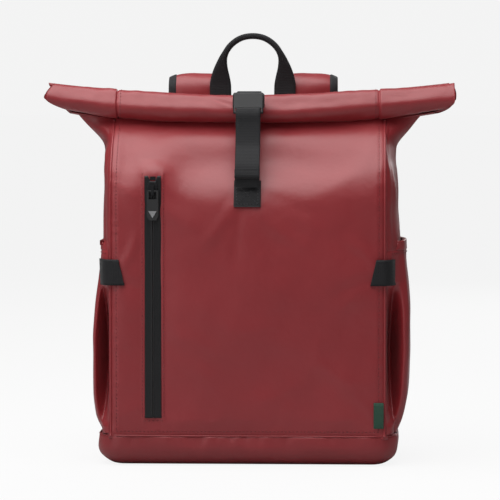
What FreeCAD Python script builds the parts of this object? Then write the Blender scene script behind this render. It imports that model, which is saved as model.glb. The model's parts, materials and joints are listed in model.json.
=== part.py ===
"""Roll-top travel backpack in coated fabric, modelled in millimetres.

Frame: +Z up, the bag stands on z = 0, its front faces -Y and the shoulder straps are on the +Y side.
The origin is the middle of the flat underside of the base.
Soft pieces are plain closed solids of the right size and place. Each piece is one node, one STEP file.
"""
import FreeCAD
import Part

import math
import os

V = FreeCAD.Vector
OUT = "parts"

# ---- driving dimensions --------------------------------------------------------------------------
PANEL_HALF = 124.0        # half the width of the front and back panels, seam to seam
FRONT_Y = -61.0           # outer face of the front panel
BACK_Y = 61.0             # outer face of the back panel
SKIN = 1.6                # coated fabric with its backing
BOOT_HALF = 134.0         # half the width of the moulded-looking base boot
BOOT_HALF_Y = 62.0
BOOT_TOP = 30.0
NECK_Z = 254.0            # the front panel is upright up to here, then leans back to the roll
ROLL_HALF = 183.0         # half the length of the rolled mouth: a panel and two half gussets, laid flat
ROLL_Y = -14.0
ROLL_Z = 317.0            # centre of the roll in the middle of the bag
ROLL_SAG = 11.0           # the ends of the roll stand this much higher than its middle
ROLL_RY = 15.0
ROLL_RZ = 16.0
GAP = 0.3                 # clearance left between neighbouring soft pieces

# height, front y, back y, half width at the gusset's middle crease, y of that crease
SECTIONS = [
    (BOOT_TOP, FRONT_Y, BACK_Y, 132.0, 0.0),
    (70.0, FRONT_Y, BACK_Y, 129.0, 0.0),
    (205.0, FRONT_Y, BACK_Y, 128.0, 0.0),
    (NECK_Z, FRONT_Y, BACK_Y, 129.0, 0.0),
    (268.0, -57.0, BACK_Y, 131.0, 0.0),
    (284.0, -43.0, BACK_Y, 136.0, -2.0),
    (298.0, -25.0, 60.0, 148.0, -6.0),
    (311.0, -17.0, 38.0, 164.0, -10.0),
    (326.0, -16.0, -12.0, ROLL_HALF, ROLL_Y),
]

ZIP_X = -84.0
ZIP_LOW = 43.0
ZIP_HIGH = 259.0
ZIP_HALF = 6.2            # half the width of the two tapes together
ZIP_TOP_Z = 249.0         # middle of the slider, zip closed
PULL_Z = 245.5            # axis the pull swings on
PULL_LENGTH = 26.0

WEBBING = 1.4             # webbing thickness
CLOSURE_HALF = 11.0       # half the width of the closure webbing
HOOK_TILT = 20.0          # the closure hardware lies on the roll, leaning back by this much
CLOSURE_PIVOT = (-63.1, 257.2)
CLOSURE_WRAP = 138.0      # how far round the roll the rear strap goes, in degrees from the back

HANDLE_PIVOT = (63.2, 302.0)
HANDLE_INNER = 19.5
HANDLE_OUTER = 39.0

STRAP_PIVOT = (82.0, 347.0)     # top of the arch where a shoulder strap turns over
STRAP_ARCH_R = 12.0
STRAP_THICK = 10.0
STRAP_MESH = 3.0                # thickness of the mesh-covered padding within it
STRAP_TOP_X = 51.0
STRAP_TOP_HALF = 27.0
STRAP_LOW_X = 86.0
STRAP_LOW_HALF = 24.0
STRAP_LOW_Z = 118.0

PAD_FACE_Y = 70.0
BAND_Y = 82.0             # inner face of the trolley band
BAND_LOW = 110.0
BAND_HIGH = 190.0

POCKET_LOW = 36.0
POCKET_HIGH = 200.0
TAB_LOW = 161.0
TAB_HIGH = 185.0


# ---- helpers -------------------------------------------------------------------------------------
def save(shape, name):
    """Writes one sub-part as a STEP file named after its node."""
    if not shape.isValid():
        raise RuntimeError(name + " is not a valid shape")
    print("%-22s solids %d  volume %.0f mm3" % (name, len(shape.Solids), shape.Volume))
    shape.exportStep(os.path.join(OUT, name + ".step"))


def block(x, y, z):
    """A box from three (low, high) pairs."""
    return Part.makeBox(x[1] - x[0], y[1] - y[0], z[1] - z[0], V(x[0], y[0], z[0]))


def fillet_all(shape, radius):
    return shape.makeFillet(radius, shape.Edges)


def mirror_x(shape):
    return shape.mirror(V(0, 0, 0), V(1, 0, 0))


def cylinder_x(radius, centre, x):
    """A round bar along X from x[0] to x[1], centred on (y, z)."""
    return Part.makeCylinder(radius, x[1] - x[0], V(x[0], centre[0], centre[1]), V(1, 0, 0))


def unit(a, b):
    length = math.hypot(b[0] - a[0], b[1] - a[1])
    return (b[0] - a[0]) / length, (b[1] - a[1]) / length


def offset_points(points, t):
    """The corners of an open polyline moved t to its left, with mitred corners."""
    moved = []
    last = len(points) - 1
    for i, p in enumerate(points):
        before = unit(points[max(i - 1, 0)], points[max(i - 1, 0) + 1])
        after = unit(points[min(i, last - 1)], points[min(i, last - 1) + 1])
        n0 = (-before[1], before[0])
        n1 = (-after[1], after[0])
        scale = t / (1 + n0[0] * n1[0] + n0[1] * n1[1])
        moved.append((p[0] + (n0[0] + n1[0]) * scale, p[1] + (n0[1] + n1[1]) * scale))
    return moved


def rounded_edges(points, radii, lift):
    """Lines and tangent arcs along an open polyline. radii holds one radius per inner corner."""
    edges = []
    start = points[0]
    for i in range(1, len(points) - 1):
        p = points[i]
        u = unit(p, points[i - 1])
        w = unit(p, points[i + 1])
        half = math.acos(max(-1.0, min(1.0, u[0] * w[0] + u[1] * w[1]))) / 2
        reach = radii[i - 1] / math.tan(half)
        a = (p[0] + u[0] * reach, p[1] + u[1] * reach)
        b = (p[0] + w[0] * reach, p[1] + w[1] * reach)
        middle = unit((0, 0), (u[0] + w[0], u[1] + w[1]))
        depth = radii[i - 1] / math.sin(half) - radii[i - 1]
        m = (p[0] + middle[0] * depth, p[1] + middle[1] * depth)
        edges.append(Part.LineSegment(lift(start), lift(a)).toShape())
        edges.append(Part.Arc(lift(a), lift(m), lift(b)).toShape())
        start = b
    edges.append(Part.LineSegment(lift(start), lift(points[-1])).toShape())
    return edges


def ribbon(points, thickness, radius, lift, along):
    """A strip of cloth seen edge on: it follows points, lies to their left, and is extruded along."""
    other = offset_points(points, thickness)
    near, far = [], []
    for i in range(1, len(points) - 1):
        a, b, c = points[i - 1], points[i], points[i + 1]
        turn = (b[0] - a[0]) * (c[1] - b[1]) - (b[1] - a[1]) * (c[0] - b[0])
        inside = turn > 0
        near.append(radius + thickness if inside else radius)
        far.append(radius if inside else radius + thickness)
    edges = rounded_edges(points, near, lift) + rounded_edges(other, far, lift)
    edges.append(Part.LineSegment(lift(points[0]), lift(other[0])).toShape())
    edges.append(Part.LineSegment(lift(points[-1]), lift(other[-1])).toShape())
    wire = Part.Wire(Part.__sortEdges__(edges))
    return Part.Face(wire).extrude(along)


def ribbon_x(points, thickness, radius, x):
    """A ribbon whose outline is in the YZ plane, as wide as x = (low, high)."""
    return ribbon(points, thickness, radius, lambda p: V(x[0], p[0], p[1]), V(x[1] - x[0], 0, 0))


def ribbon_z(points, thickness, radius, z):
    """A ribbon whose outline is in the XY plane, as high as z = (low, high)."""
    return ribbon(points, thickness, radius, lambda p: V(p[0], p[1], z[0]), V(0, 0, z[1] - z[0]))


def prism_y(points, y):
    """A straight-sided plate with an outline in the XZ plane, from y[0] to y[1]."""
    corners = [V(x, y[0], z) for x, z in points]
    return Part.Face(Part.makePolygon(corners + corners[:1])).extrude(V(0, y[1] - y[0], 0))


# ---- shell ---------------------------------------------------------------------------------------
def ring_wire(z, front, back, crease_x, crease_y, half):
    """A six-sided cross-section: the two panels, and a gusset creased along its middle on each side."""
    points = [
        V(-half, front, z), V(half, front, z), V(crease_x, crease_y, z),
        V(half, back, z), V(-half, back, z), V(-crease_x, crease_y, z),
    ]
    return Part.makePolygon(points + points[:1])


def bag_loft(inset):
    """The bag from the boot to the roll, each section drawn in by inset."""
    wires = []
    for z, front, back, crease_x, crease_y in SECTIONS:
        drop = 0.8 * inset if z > NECK_Z else 0.0
        wires.append(ring_wire(z - drop, front + inset, back - inset, crease_x - 1.3 * inset,
                               crease_y, PANEL_HALF - inset))
    return Part.makeLoft(wires, True, True)


def swept_round_roll(face):
    """Turns a face drawn in the YZ plane at x = 0 into a bar that follows the roll's shallow arc."""
    arc_radius = (ROLL_HALF ** 2 + ROLL_SAG ** 2) / (2 * ROLL_SAG)
    centre = V(0, ROLL_Y, ROLL_Z + arc_radius)
    half_angle = math.degrees(math.asin(ROLL_HALF / arc_radius))
    start = face.copy()
    start.rotate(centre, V(0, 1, 0), half_angle)
    return start.revolve(centre, V(0, -1, 0), 2 * half_angle)


def oval_face(radius_y, radius_z):
    """A flat oval at x = 0, centred on the roll's axis."""
    major, minor = max(radius_y, radius_z), min(radius_y, radius_z)
    oval = Part.Ellipse(V(0, 0, 0), major, minor)
    edge = oval.toShape()
    edge.rotate(V(0, 0, 0), V(0, 1, 0), -90)      # its long axis now points up, in the YZ plane
    if radius_y > radius_z:
        edge.rotate(V(0, 0, 0), V(1, 0, 0), 90)
    edge.translate(V(0, ROLL_Y, ROLL_Z))
    return Part.Face(Part.Wire(edge))


def make_shell():
    """Front and back panels, two gussets and the boot."""
    skin = bag_loft(0.0).cut(bag_loft(SKIN))
    skin = skin.cut(swept_round_roll(oval_face(ROLL_RY + GAP, ROLL_RZ + GAP)))
    far = 400.0
    seam = GAP / 2
    between = (-PANEL_HALF + seam, PANEL_HALF - seam)
    front = skin.common(block(between, (-far, ROLL_Y), (0, far)))
    back = skin.common(block(between, (ROLL_Y, far), (0, far)))
    slot = block((ZIP_X - ZIP_HALF, ZIP_X + ZIP_HALF), (-far, -50.0), (ZIP_LOW, ZIP_HIGH))
    save(largest(front.cut(slot)), "front_panel")
    save(largest(back), "back_panel")
    gusset = largest(skin.common(block((PANEL_HALF + seam, far), (-far, far), (0, far))))
    save(gusset, "gusset_right")
    save(mirror_x(gusset), "gusset_left")

    outer = block((-BOOT_HALF, BOOT_HALF), (-BOOT_HALF_Y, BOOT_HALF_Y), (0, BOOT_TOP))
    upright = [e for e in outer.Edges if abs(e.tangentAt(e.FirstParameter).z) > 0.9]
    outer = outer.makeFillet(16.0, upright)
    low = [e for e in outer.Edges if e.BoundBox.ZMax < 0.01]
    outer = outer.makeFillet(15.0, low)
    wall = 2.0
    cavity = block((-BOOT_HALF + wall, BOOT_HALF - wall), (-BOOT_HALF_Y + wall, BOOT_HALF_Y - wall),
                   (wall, BOOT_TOP + 1))
    upright = [e for e in cavity.Edges if abs(e.tangentAt(e.FirstParameter).z) > 0.9]
    cavity = cavity.makeFillet(14.0, upright)
    low = [e for e in cavity.Edges if abs(e.BoundBox.ZMax - wall) < 0.01]
    cavity = cavity.makeFillet(13.0, low)
    save(outer.cut(cavity), "base_boot")


def largest(shape):
    """The biggest solid of a shape, so that no crumb of a cut is kept."""
    return max(shape.Solids, key=lambda s: s.Volume)


def make_roll():
    """The rolled mouth, hollow along its middle, where the hem and its two stiffeners lie."""
    body = swept_round_roll(oval_face(ROLL_RY, ROLL_RZ))
    core = swept_round_roll(oval_face(6.0, 9.0))
    save(body.cut(core), "roll_collar")
    half_height = 7.5
    for name, y in (("hem_stiffener_front", ROLL_Y - 1.4), ("hem_stiffener_back", ROLL_Y + 0.6)):
        corners = [V(0, y, ROLL_Z - half_height), V(0, y + 0.8, ROLL_Z - half_height),
                   V(0, y + 0.8, ROLL_Z + half_height), V(0, y, ROLL_Z + half_height)]
        save(swept_round_roll(Part.Face(Part.makePolygon(corners + corners[:1]))), name)


# ---- inside --------------------------------------------------------------------------------------
def make_inside():
    """Lining, stiffeners, laptop sleeve and the bag of the front pocket."""
    half, front, back, wall, floor = 116.0, -51.8, 53.8, 0.8, 6.0

    def liner(t):
        low = [V(-half + t, front + t, 0), V(half - t, front + t, 0), V(half - t, back - t, 0),
               V(-half + t, back - t, 0)]
        top = [V(-half + t, -20 + t, 0), V(half - t, -20 + t, 0), V(half - t, 46 - t, 0),
               V(-half + t, 46 - t, 0)]
        heights = [(floor + t, low), (NECK_Z, low), (294.0, top)]
        wires = [Part.makePolygon([p + V(0, 0, z) for p in ring + ring[:1]]) for z, ring in heights]
        return Part.makeLoft(wires, True, True)

    mouth = block((-half, half), (front, back), (294.0 - 2 * wall, 296.0))
    save(liner(0.0).cut(liner(wall)).cut(mouth), "lining")
    save(fillet_all(block((-112, 112), (54.2, 59.2), (34, 280)), 2.0), "back_foam_sheet")
    save(fillet_all(block((-108, 108), (-46, 46), (2.4, 5.4)), 1.2), "base_board")

    sleeve = block((-112, 112), (28, 52.6), (8, 222))
    room = block((-110, 110), (32, 51.4), (10, 223))
    save(sleeve.cut(room), "laptop_sleeve")

    tray = block((-112, 40), (-59.1, -52.2), (36, 250))
    room = block((-111, 39), (-59.2, -53.0), (37, 249))
    save(tray.cut(room), "front_pocket_bag")


# ---- zip -----------------------------------------------------------------------------------------
def make_zip():
    """Two tapes, the coil between them, its stops, the slider and the pull that hangs on it."""
    coil_half = 1.6
    for name, side in (("zip_tape_left", -1), ("zip_tape_right", 1)):
        edges = sorted((ZIP_X + side * (coil_half + 0.1), ZIP_X + side * ZIP_HALF))
        save(block(edges, (FRONT_Y, FRONT_Y + 1.0), (ZIP_LOW, ZIP_HIGH)), name)
    coil = block((ZIP_X - coil_half, ZIP_X + coil_half), (FRONT_Y - 0.3, FRONT_Y + 1.3),
                 (ZIP_LOW + 4, ZIP_HIGH - 4))
    save(fillet_all(coil, 0.6), "zip_coil")
    stops = [block((ZIP_X - 2.6, ZIP_X + 2.6), (FRONT_Y - 0.9, FRONT_Y - 0.1), z)
             for z in ((ZIP_LOW + 0.6, ZIP_LOW + 3.6), (ZIP_HIGH - 3.6, ZIP_HIGH - 0.6))]
    save(Part.makeCompound(stops), "zip_end_stops")

    slider = prism_y([(ZIP_X - 3.4, ZIP_TOP_Z - 5.0), (ZIP_X + 3.4, ZIP_TOP_Z - 5.0),
                      (ZIP_X + 4.6, ZIP_TOP_Z + 1.5), (ZIP_X + 3.2, ZIP_TOP_Z + 5.0),
                      (ZIP_X - 3.2, ZIP_TOP_Z + 5.0), (ZIP_X - 4.6, ZIP_TOP_Z + 1.5)],
                     (FRONT_Y - 2.6, FRONT_Y - 0.6))
    slider = fillet_all(slider, 0.5)
    feet = [block((ZIP_X - 1.2, ZIP_X + 1.2), (FRONT_Y - 5.2, FRONT_Y - 2.0), z)
            for z in ((PULL_Z - 3.6, PULL_Z - 2.2), (PULL_Z + 4.2, PULL_Z + 5.6))]
    bridge = block((ZIP_X - 1.2, ZIP_X + 1.2), (FRONT_Y - 6.2, FRONT_Y - 5.0), (PULL_Z - 3.6, PULL_Z + 5.6))
    bridge = bridge.fuse(feet)
    save(slider.fuse(bridge), "zip_slider")

    pull_y = FRONT_Y - 3.85
    bar = cylinder_x(0.55, (pull_y, PULL_Z), (ZIP_X - 4.6, ZIP_X + 4.6))
    cheeks = [block((ZIP_X + a, ZIP_X + b), (pull_y - 0.7, pull_y + 0.7), (PULL_Z - 7.2, PULL_Z + 0.7))
              for a, b in ((-5.2, -3.4), (3.4, 5.2))]
    low = PULL_Z - PULL_LENGTH
    tab = prism_y([(ZIP_X - 5.2, PULL_Z - 7.2), (ZIP_X - 5.2, low + 4.0), (ZIP_X - 3.0, low),
                   (ZIP_X + 3.0, low), (ZIP_X + 5.2, low + 4.0), (ZIP_X + 5.2, PULL_Z - 7.2)],
                  (pull_y - 0.9, pull_y + 0.9))
    save(tab.fuse([bar] + cheeks), "zip_pull")
    tip = prism_y([(ZIP_X - 3.6, low + 8.2), (ZIP_X, low + 2.0), (ZIP_X + 3.6, low + 8.2)],
                  (pull_y - 1.5, pull_y - 0.9))
    save(tip, "zip_pull_tip")


# ---- side pockets --------------------------------------------------------------------------------
def make_side(side):
    """A bellows pocket on a gusset, its bound mouth, and the webbing tab at its front corner."""
    name = "right" if side > 0 else "left"
    plan = [(125.3, -57.0), (140.0, -34.0), (143.0, 0.0), (140.0, 34.0), (125.3, 57.0)]
    wall = ribbon_z(plan, -1.2, 12.0, (POCKET_LOW, POCKET_HIGH - 8))
    corners = [V(x, y, POCKET_LOW) for x, y in plan + [(133.2, 0.0)]]
    floor = Part.Face(Part.makePolygon(corners + corners[:1])).extrude(V(0, 0, 1.2))
    binding = ribbon_z(plan, -1.8, 12.0, (POCKET_HIGH - 8, POCKET_HIGH))
    tab = ribbon_z([(112.0, -61.4), (124.5, -61.4), (134.7, -45.4)], -WEBBING, 2.0, (TAB_LOW, TAB_HIGH))
    shapes = {"side_pocket_": wall.fuse(floor), "pocket_binding_": binding, "pocket_tab_": tab}
    for stem, shape in shapes.items():
        save(shape if side > 0 else mirror_x(shape), stem + name)


# ---- closure -------------------------------------------------------------------------------------
def on_roll(y, z):
    """A point given in the closure hardware's own frame, (y, z) in the row frame.
    There z runs up the roll's face, y points into the roll, and (0, 0) lies on its surface."""
    tilt = math.radians(HOOK_TILT)
    touch_y = ROLL_Y - ROLL_RZ * math.cos(tilt)
    touch_z = ROLL_Z + ROLL_RZ * math.sin(tilt)
    return (touch_y + y * math.cos(tilt) + z * math.sin(tilt),
            touch_z - y * math.sin(tilt) + z * math.cos(tilt))


def tilted(shape):
    """A shape made in the hardware's own frame, put in its place on the roll."""
    placed = shape.copy()
    placed.rotate(V(0, 0, 0), V(1, 0, 0), -HOOK_TILT)
    origin = on_roll(0, 0)
    placed.translate(V(0, origin[0], origin[1]))
    return placed


RING_Y = -3.4             # the ring's wire, in front of the roll's surface
RING_LOW = -3.5
RING_HIGH = 7.5
RING_WIRE = 1.3


def make_closure():
    """The strap from the back with its ring, and the front strap with its hook, which swings open."""
    ring_half = 13.0
    bars = [cylinder_x(RING_WIRE, (RING_Y, z), (-ring_half, ring_half)) for z in (RING_LOW, RING_HIGH)]
    sides = [Part.makeCylinder(RING_WIRE, RING_HIGH - RING_LOW, V(x, RING_Y, RING_LOW))
             for x in (-ring_half, ring_half)]
    balls = [Part.makeSphere(RING_WIRE, V(x, RING_Y, z))
             for x in (-ring_half, ring_half) for z in (RING_LOW, RING_HIGH)]
    ring = bars[0].fuse(bars[1:] + sides + balls)
    save(tilted(ring), "closure_ring")

    r = ROLL_RZ + 0.6
    edge = (38.9, 312.3)
    reach = math.hypot(edge[0] - ROLL_Y, edge[1] - ROLL_Z)
    top = math.atan2(edge[1] - ROLL_Z, edge[0] - ROLL_Y) + math.acos(r / reach)
    bow = math.radians(CLOSURE_WRAP) - top
    corner_r = r / math.cos(bow / 4)
    knee = [(ROLL_Y + corner_r * math.cos(a), ROLL_Z + corner_r * math.sin(a))
            for a in (top + bow / 4, top + 3 * bow / 4)]
    end = (ROLL_Y + r * math.cos(top + bow), ROLL_Z + r * math.sin(top + bow))
    path = [(61.8, 276.4), (61.8, 299.4), edge, knee[0], knee[1], end]
    strap = ribbon_x(path, -WEBBING, 2.0, (-CLOSURE_HALF, CLOSURE_HALF))
    loop = cylinder_x(3.2, (RING_Y, RING_HIGH), (-CLOSURE_HALF, CLOSURE_HALF))
    eye = cylinder_x(1.6, (RING_Y, RING_HIGH), (-CLOSURE_HALF - 1, CLOSURE_HALF + 1))
    save(strap.fuse(tilted(loop)).cut(tilted(eye)), "rear_strap")

    plate = block((-13.5, 13.5), (-9.6, -6.8), (-12.0, 8.0))
    plate = fillet_all(plate, 1.2)
    slot = block((-11.6, 11.6), (-12, -5), (-9.6, -6.6))
    finger_outline = [V(-7.5, -6.9, -1.9), V(-7.5, -1.0, -0.8), V(-7.5, -1.0, 1.4), V(-7.5, -6.9, 1.8)]
    finger = Part.Face(Part.makePolygon(finger_outline + finger_outline[:1])).extrude(V(15, 0, 0))
    save(tilted(plate.cut(slot).fuse(finger)), "closure_hook")

    lower = [(-62.4, CLOSURE_PIVOT[1]), (-58.9, 268.0), (-46.8, 284.0), (-42.0, 306.0)]
    over = [on_roll(-5.0, -13.0), on_roll(-5.0, -6.8), on_roll(-11.4, -6.8), on_roll(-11.4, -14.0)]
    front = ribbon_x(lower + over, WEBBING, 0.4, (-CLOSURE_HALF, CLOSURE_HALF))
    root = cylinder_x(WEBBING / 2, CLOSURE_PIVOT, (-CLOSURE_HALF, CLOSURE_HALF))
    save(front.fuse(root), "front_strap")
    tail_path = offset_points(lower, WEBBING + 0.4)[1:] + [on_roll(-11.4 + WEBBING, -14.4)]
    start = tail_path[0]
    tail_path = [(start[0] - 2.4, start[1] - 9.0)] + tail_path
    save(ribbon_x(tail_path, WEBBING, 3.0, (-CLOSURE_HALF, CLOSURE_HALF)), "front_strap_tail")
    save(block((-CLOSURE_HALF - 0.6, CLOSURE_HALF + 0.6), (FRONT_Y - 1.8, FRONT_Y - 0.2), (232, 255.8)),
         "front_strap_anchor")


# ---- handle and back -----------------------------------------------------------------------------
def make_handle():
    """A folded webbing handle between the shoulder straps, and the two patches it is sewn to."""
    y, z = HANDLE_PIVOT
    leg = prism_y([(HANDLE_INNER, z), (HANDLE_OUTER, z), (38.0, 350.0), (31.5, 365.0), (26.0, 371.0),
                   (22.0, 362.0), (HANDLE_INNER, 350.0)], (y - 1.0, y + 1.0))
    foot = cylinder_x(1.0, HANDLE_PIVOT, (HANDLE_INNER, HANDLE_OUTER))
    leg = leg.fuse(foot)
    arc = Part.Arc(V(-27.5, y, 367.0), V(0, y, 383.5), V(27.5, y, 367.0)).toShape()
    section = Part.Ellipse(V(0, 0, 0), 4.5, 2.8).toShape()
    tangent = arc.tangentAt(arc.FirstParameter)
    section.rotate(V(0, 0, 0), V(0, 0, 1), 90)                       # its long axis along Y
    section.rotate(V(0, 0, 0), V(0, 1, 0), math.degrees(math.atan2(tangent.x, tangent.z)))
    section.translate(V(-27.5, y, 367.0))
    grip = Part.Wire([arc]).makePipeShell([Part.Wire(section)], True, True)
    save(grip.fuse([leg, mirror_x(leg)]), "top_handle")
    patch = block((HANDLE_INNER, HANDLE_OUTER), (BACK_Y + 0.3, y + 1.0), (285.5, z - 1.4))
    save(Part.makeCompound([patch, mirror_x(patch)]), "handle_anchor")


def make_back():
    """Pads, the yoke that holds the straps, and the band that slips over a trolley's handle."""
    pad = fillet_all(block((18, 108), (BACK_Y + 0.3, PAD_FACE_Y), (66, 262)), 4.0)
    save(pad, "back_pad_right")
    save(mirror_x(pad), "back_pad_left")
    save(block((-84, 84), (BACK_Y + 0.2, 64.8), (265, 275.6)), "strap_yoke")
    path = [(-123.0, 61.4), (-122.0, 64.0), (-108.0, BAND_Y), (108.0, BAND_Y), (122.0, 64.0),
            (123.0, 61.4)]
    save(ribbon_z(path, 1.6, 1.0, (BAND_LOW, BAND_HIGH)), "trolley_band")


def layered_arch(inner, outer, x, start, end):
    """Part of a strap's arch about its centre, between two radii and two angles in the YZ plane."""
    centre_z = STRAP_PIVOT[1] - STRAP_ARCH_R
    face_points = [(STRAP_PIVOT[0] + r * math.cos(math.radians(a)), centre_z + r * math.sin(math.radians(a)))
                   for r, a in ((inner, start), (outer, start), (outer, (start + end) / 2), (outer, end),
                                (inner, end), (inner, (start + end) / 2))]
    p = [V(x[0], a, b) for a, b in face_points]
    edges = [Part.LineSegment(p[0], p[1]).toShape(), Part.Arc(p[1], p[2], p[3]).toShape(),
             Part.LineSegment(p[3], p[4]).toShape(), Part.Arc(p[4], p[5], p[0]).toShape()]
    return Part.Face(Part.Wire(edges)).extrude(V(x[1] - x[0], 0, 0))


def make_shoulder_strap():
    """The right strap: a fixed root, then a padded strap that hangs over the arch from the yoke."""
    half = STRAP_THICK / 2
    x = (STRAP_TOP_X - STRAP_TOP_HALF, STRAP_TOP_X + STRAP_TOP_HALF)
    centre_z = STRAP_PIVOT[1] - STRAP_ARCH_R
    r_in, r_out = STRAP_ARCH_R - half, STRAP_ARCH_R + half
    r_mid = r_in + STRAP_MESH
    front_y = STRAP_PIVOT[0] - STRAP_ARCH_R
    back_y = STRAP_PIVOT[0] + STRAP_ARCH_R

    clear = cylinder_x(half + GAP, STRAP_PIVOT, (0, 200))
    root = layered_arch(r_in, r_out, x, 180, 90)
    leg = block(x, (front_y - half, front_y + half), (267, centre_z))
    root = root.fuse(leg).cut(clear)

    def outline(grow):
        return [(STRAP_TOP_X - STRAP_TOP_HALF, centre_z), (STRAP_TOP_X + STRAP_TOP_HALF, centre_z),
                (STRAP_LOW_X + STRAP_LOW_HALF, STRAP_LOW_Z + 20), (STRAP_LOW_X + 14, STRAP_LOW_Z - grow),
                (STRAP_LOW_X - 14, STRAP_LOW_Z - grow), (STRAP_LOW_X - STRAP_LOW_HALF, STRAP_LOW_Z + 20)]

    nose = cylinder_x(half, STRAP_PIVOT, x)
    cover = layered_arch(r_mid, r_out, x, 90, 0)
    cover = cover.fuse(prism_y(outline(0), (back_y - half + STRAP_MESH, back_y + half))).fuse(nose)
    mesh = layered_arch(r_in, r_mid, x, 90, 0)
    mesh = mesh.fuse(prism_y(outline(0), (back_y - half, back_y - half + STRAP_MESH))).cut(nose)

    lock_z = STRAP_LOW_Z - 12.0
    lock = fillet_all(block((STRAP_LOW_X - 15, STRAP_LOW_X + 15), (back_y - 2.5, back_y + 2.5),
                            (lock_z - 9, lock_z + 9)), 1.0)
    for z in (lock_z - 5.4, lock_z + 2.4):
        lock = lock.cut(block((STRAP_LOW_X - 11, STRAP_LOW_X + 11), (back_y - 5, back_y + 5), (z, z + 3.0)))
    keeper = block((STRAP_LOW_X - 10, STRAP_LOW_X + 10), (back_y + 2.8, back_y + 4.2),
                   (lock_z + 3.9, STRAP_LOW_Z - 0.2))

    top = V(STRAP_LOW_X, back_y - 4.4, lock_z - 2.0)
    foot = V(STRAP_LOW_X + 22, 67.6, 52.0)
    run = flat_bar(top, foot, 20.0, WEBBING)
    tail = block((STRAP_LOW_X - 10, STRAP_LOW_X + 10), (back_y + 2.8, back_y + 4.2), (40.0, lock_z + 3.2))
    tab = prism_y([(100, 32), (124, 32), (124, 56), (114, 60), (100, 54)], (BACK_Y + 1.3, BACK_Y + 3.3))
    shapes = {"strap_root_": root, "strap_cover_": cover, "strap_mesh_": mesh, "ladder_lock_": lock,
              "strap_keeper_": keeper, "adjuster_webbing_": run, "adjuster_tail_": tail,
              "anchor_tab_": tab}
    for stem, shape in shapes.items():
        save(shape, stem + "right")
        save(mirror_x(shape), stem + "left")


def flat_bar(a, b, width, thickness):
    """Webbing stretched from a to b, with its width as near to X as its slant allows."""
    along = (b - a)
    length = along.Length
    along.normalize()
    across = V(1, 0, 0) - along * along.x
    across.normalize()
    normal = along.cross(across)
    corner = a - across * (width / 2) - normal * (thickness / 2)
    face = Part.Face(Part.makePolygon([corner, corner + across * width,
                                       corner + across * width + normal * thickness,
                                       corner + normal * thickness, corner]))
    return face.extrude(along * length)


def make_label():
    """A folded woven label in the right-hand seam of the front panel."""
    label = block((112.5, 121.0), (FRONT_Y - 1.2, FRONT_Y - 0.2), (35.0, 57.0))
    save(label, "side_label")


def main():
    os.makedirs(OUT, exist_ok=True)
    make_shell()
    make_roll()
    make_inside()
    make_zip()
    make_side(1)
    make_side(-1)
    make_closure()
    make_handle()
    make_back()
    make_shoulder_strap()
    make_label()


main()
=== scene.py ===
"""The look of the roll-top backpack: sewn shell, roll, webbing, zip, straps, materials, light and camera.

Lengths in the modelling code are millimetres; meshes are written in metres, in the frame of the CAD model.
"""

import json
import math

import bpy
import numpy as np
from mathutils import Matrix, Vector


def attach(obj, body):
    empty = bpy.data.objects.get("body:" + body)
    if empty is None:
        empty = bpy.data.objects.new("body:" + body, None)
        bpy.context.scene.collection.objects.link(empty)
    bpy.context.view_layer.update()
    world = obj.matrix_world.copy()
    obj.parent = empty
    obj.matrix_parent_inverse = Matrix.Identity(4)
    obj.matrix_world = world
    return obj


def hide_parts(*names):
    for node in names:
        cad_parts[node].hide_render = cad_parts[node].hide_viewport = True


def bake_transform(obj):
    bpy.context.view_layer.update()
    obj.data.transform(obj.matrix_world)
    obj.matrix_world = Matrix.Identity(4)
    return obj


MM = 0.001
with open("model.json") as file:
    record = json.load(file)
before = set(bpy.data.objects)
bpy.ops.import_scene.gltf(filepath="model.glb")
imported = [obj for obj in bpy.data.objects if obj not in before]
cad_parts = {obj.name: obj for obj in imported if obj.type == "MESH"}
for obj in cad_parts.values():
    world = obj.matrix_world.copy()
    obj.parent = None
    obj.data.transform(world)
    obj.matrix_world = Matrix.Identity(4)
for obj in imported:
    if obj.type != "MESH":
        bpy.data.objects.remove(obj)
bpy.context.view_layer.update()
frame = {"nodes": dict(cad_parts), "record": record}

# ---- dimensions, in millimetres ------------------------------------------------------------------
SEAM_X = 122.0  # the front and back panels' side seams
FRONT_Y = -61.0
BACK_Y = 61.0
BASE_SEAM = 27.0  # height of the seam between the panels and the boot
CLOTH = 1.2

ROLL_Y, ROLL_Z = -14.0, 317.0  # the roll's middle, and the radii of its section
ROLL_RY, ROLL_RZ = 15.2, 16.0
ROLL_HALF, ROLL_SAG = 183.0, 11.0
ROLL_START, ROLL_END = math.radians(-75.0), math.radians(820.0)
ROLL_WOUND = 10.5  # how far the spiral winds inwards between those angles
ROLL_GAUGE = 2.6
ROLL_SEAMS = (-119.0, 117.0)
SEAM_STEPS = (-1.4, -0.9, -0.45, 0.05, 0.5, 0.95, 1.4)

BOOT_HALF_X, BOOT_HALF_Y, BOOT_CORNER, BOOT_EDGE = 133.8, 62.3, 24.0, 18.0

ZIP_X, ZIP_HALF = -84.0, 6.2
ZIP_LOW, ZIP_HIGH = 43.0, 259.0
ZIP_STITCH = 9.6  # from the zip's middle to its top-stitching
COIL_STEP = 1.6

TAB_LOW, TAB_HIGH, TAB_MIDDLE, TAB_LENGTH, TAB_SLANT = 161.5, 184.5, 173.0, 30.0, 0.24
LABEL_X, LABEL_WIDTH = 117.0, 9.0
HOOK_TILT = math.radians(20.0)
HOOK_REACH = 16.0

HANDLE_FOOT, HANDLE_Y = 302.0, 63.2
HANDLE_WIDE, HANDLE_NARROW = (20.0, 2.6), (5.6, 9.6)  # across and through, at its legs and at its arch

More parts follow.
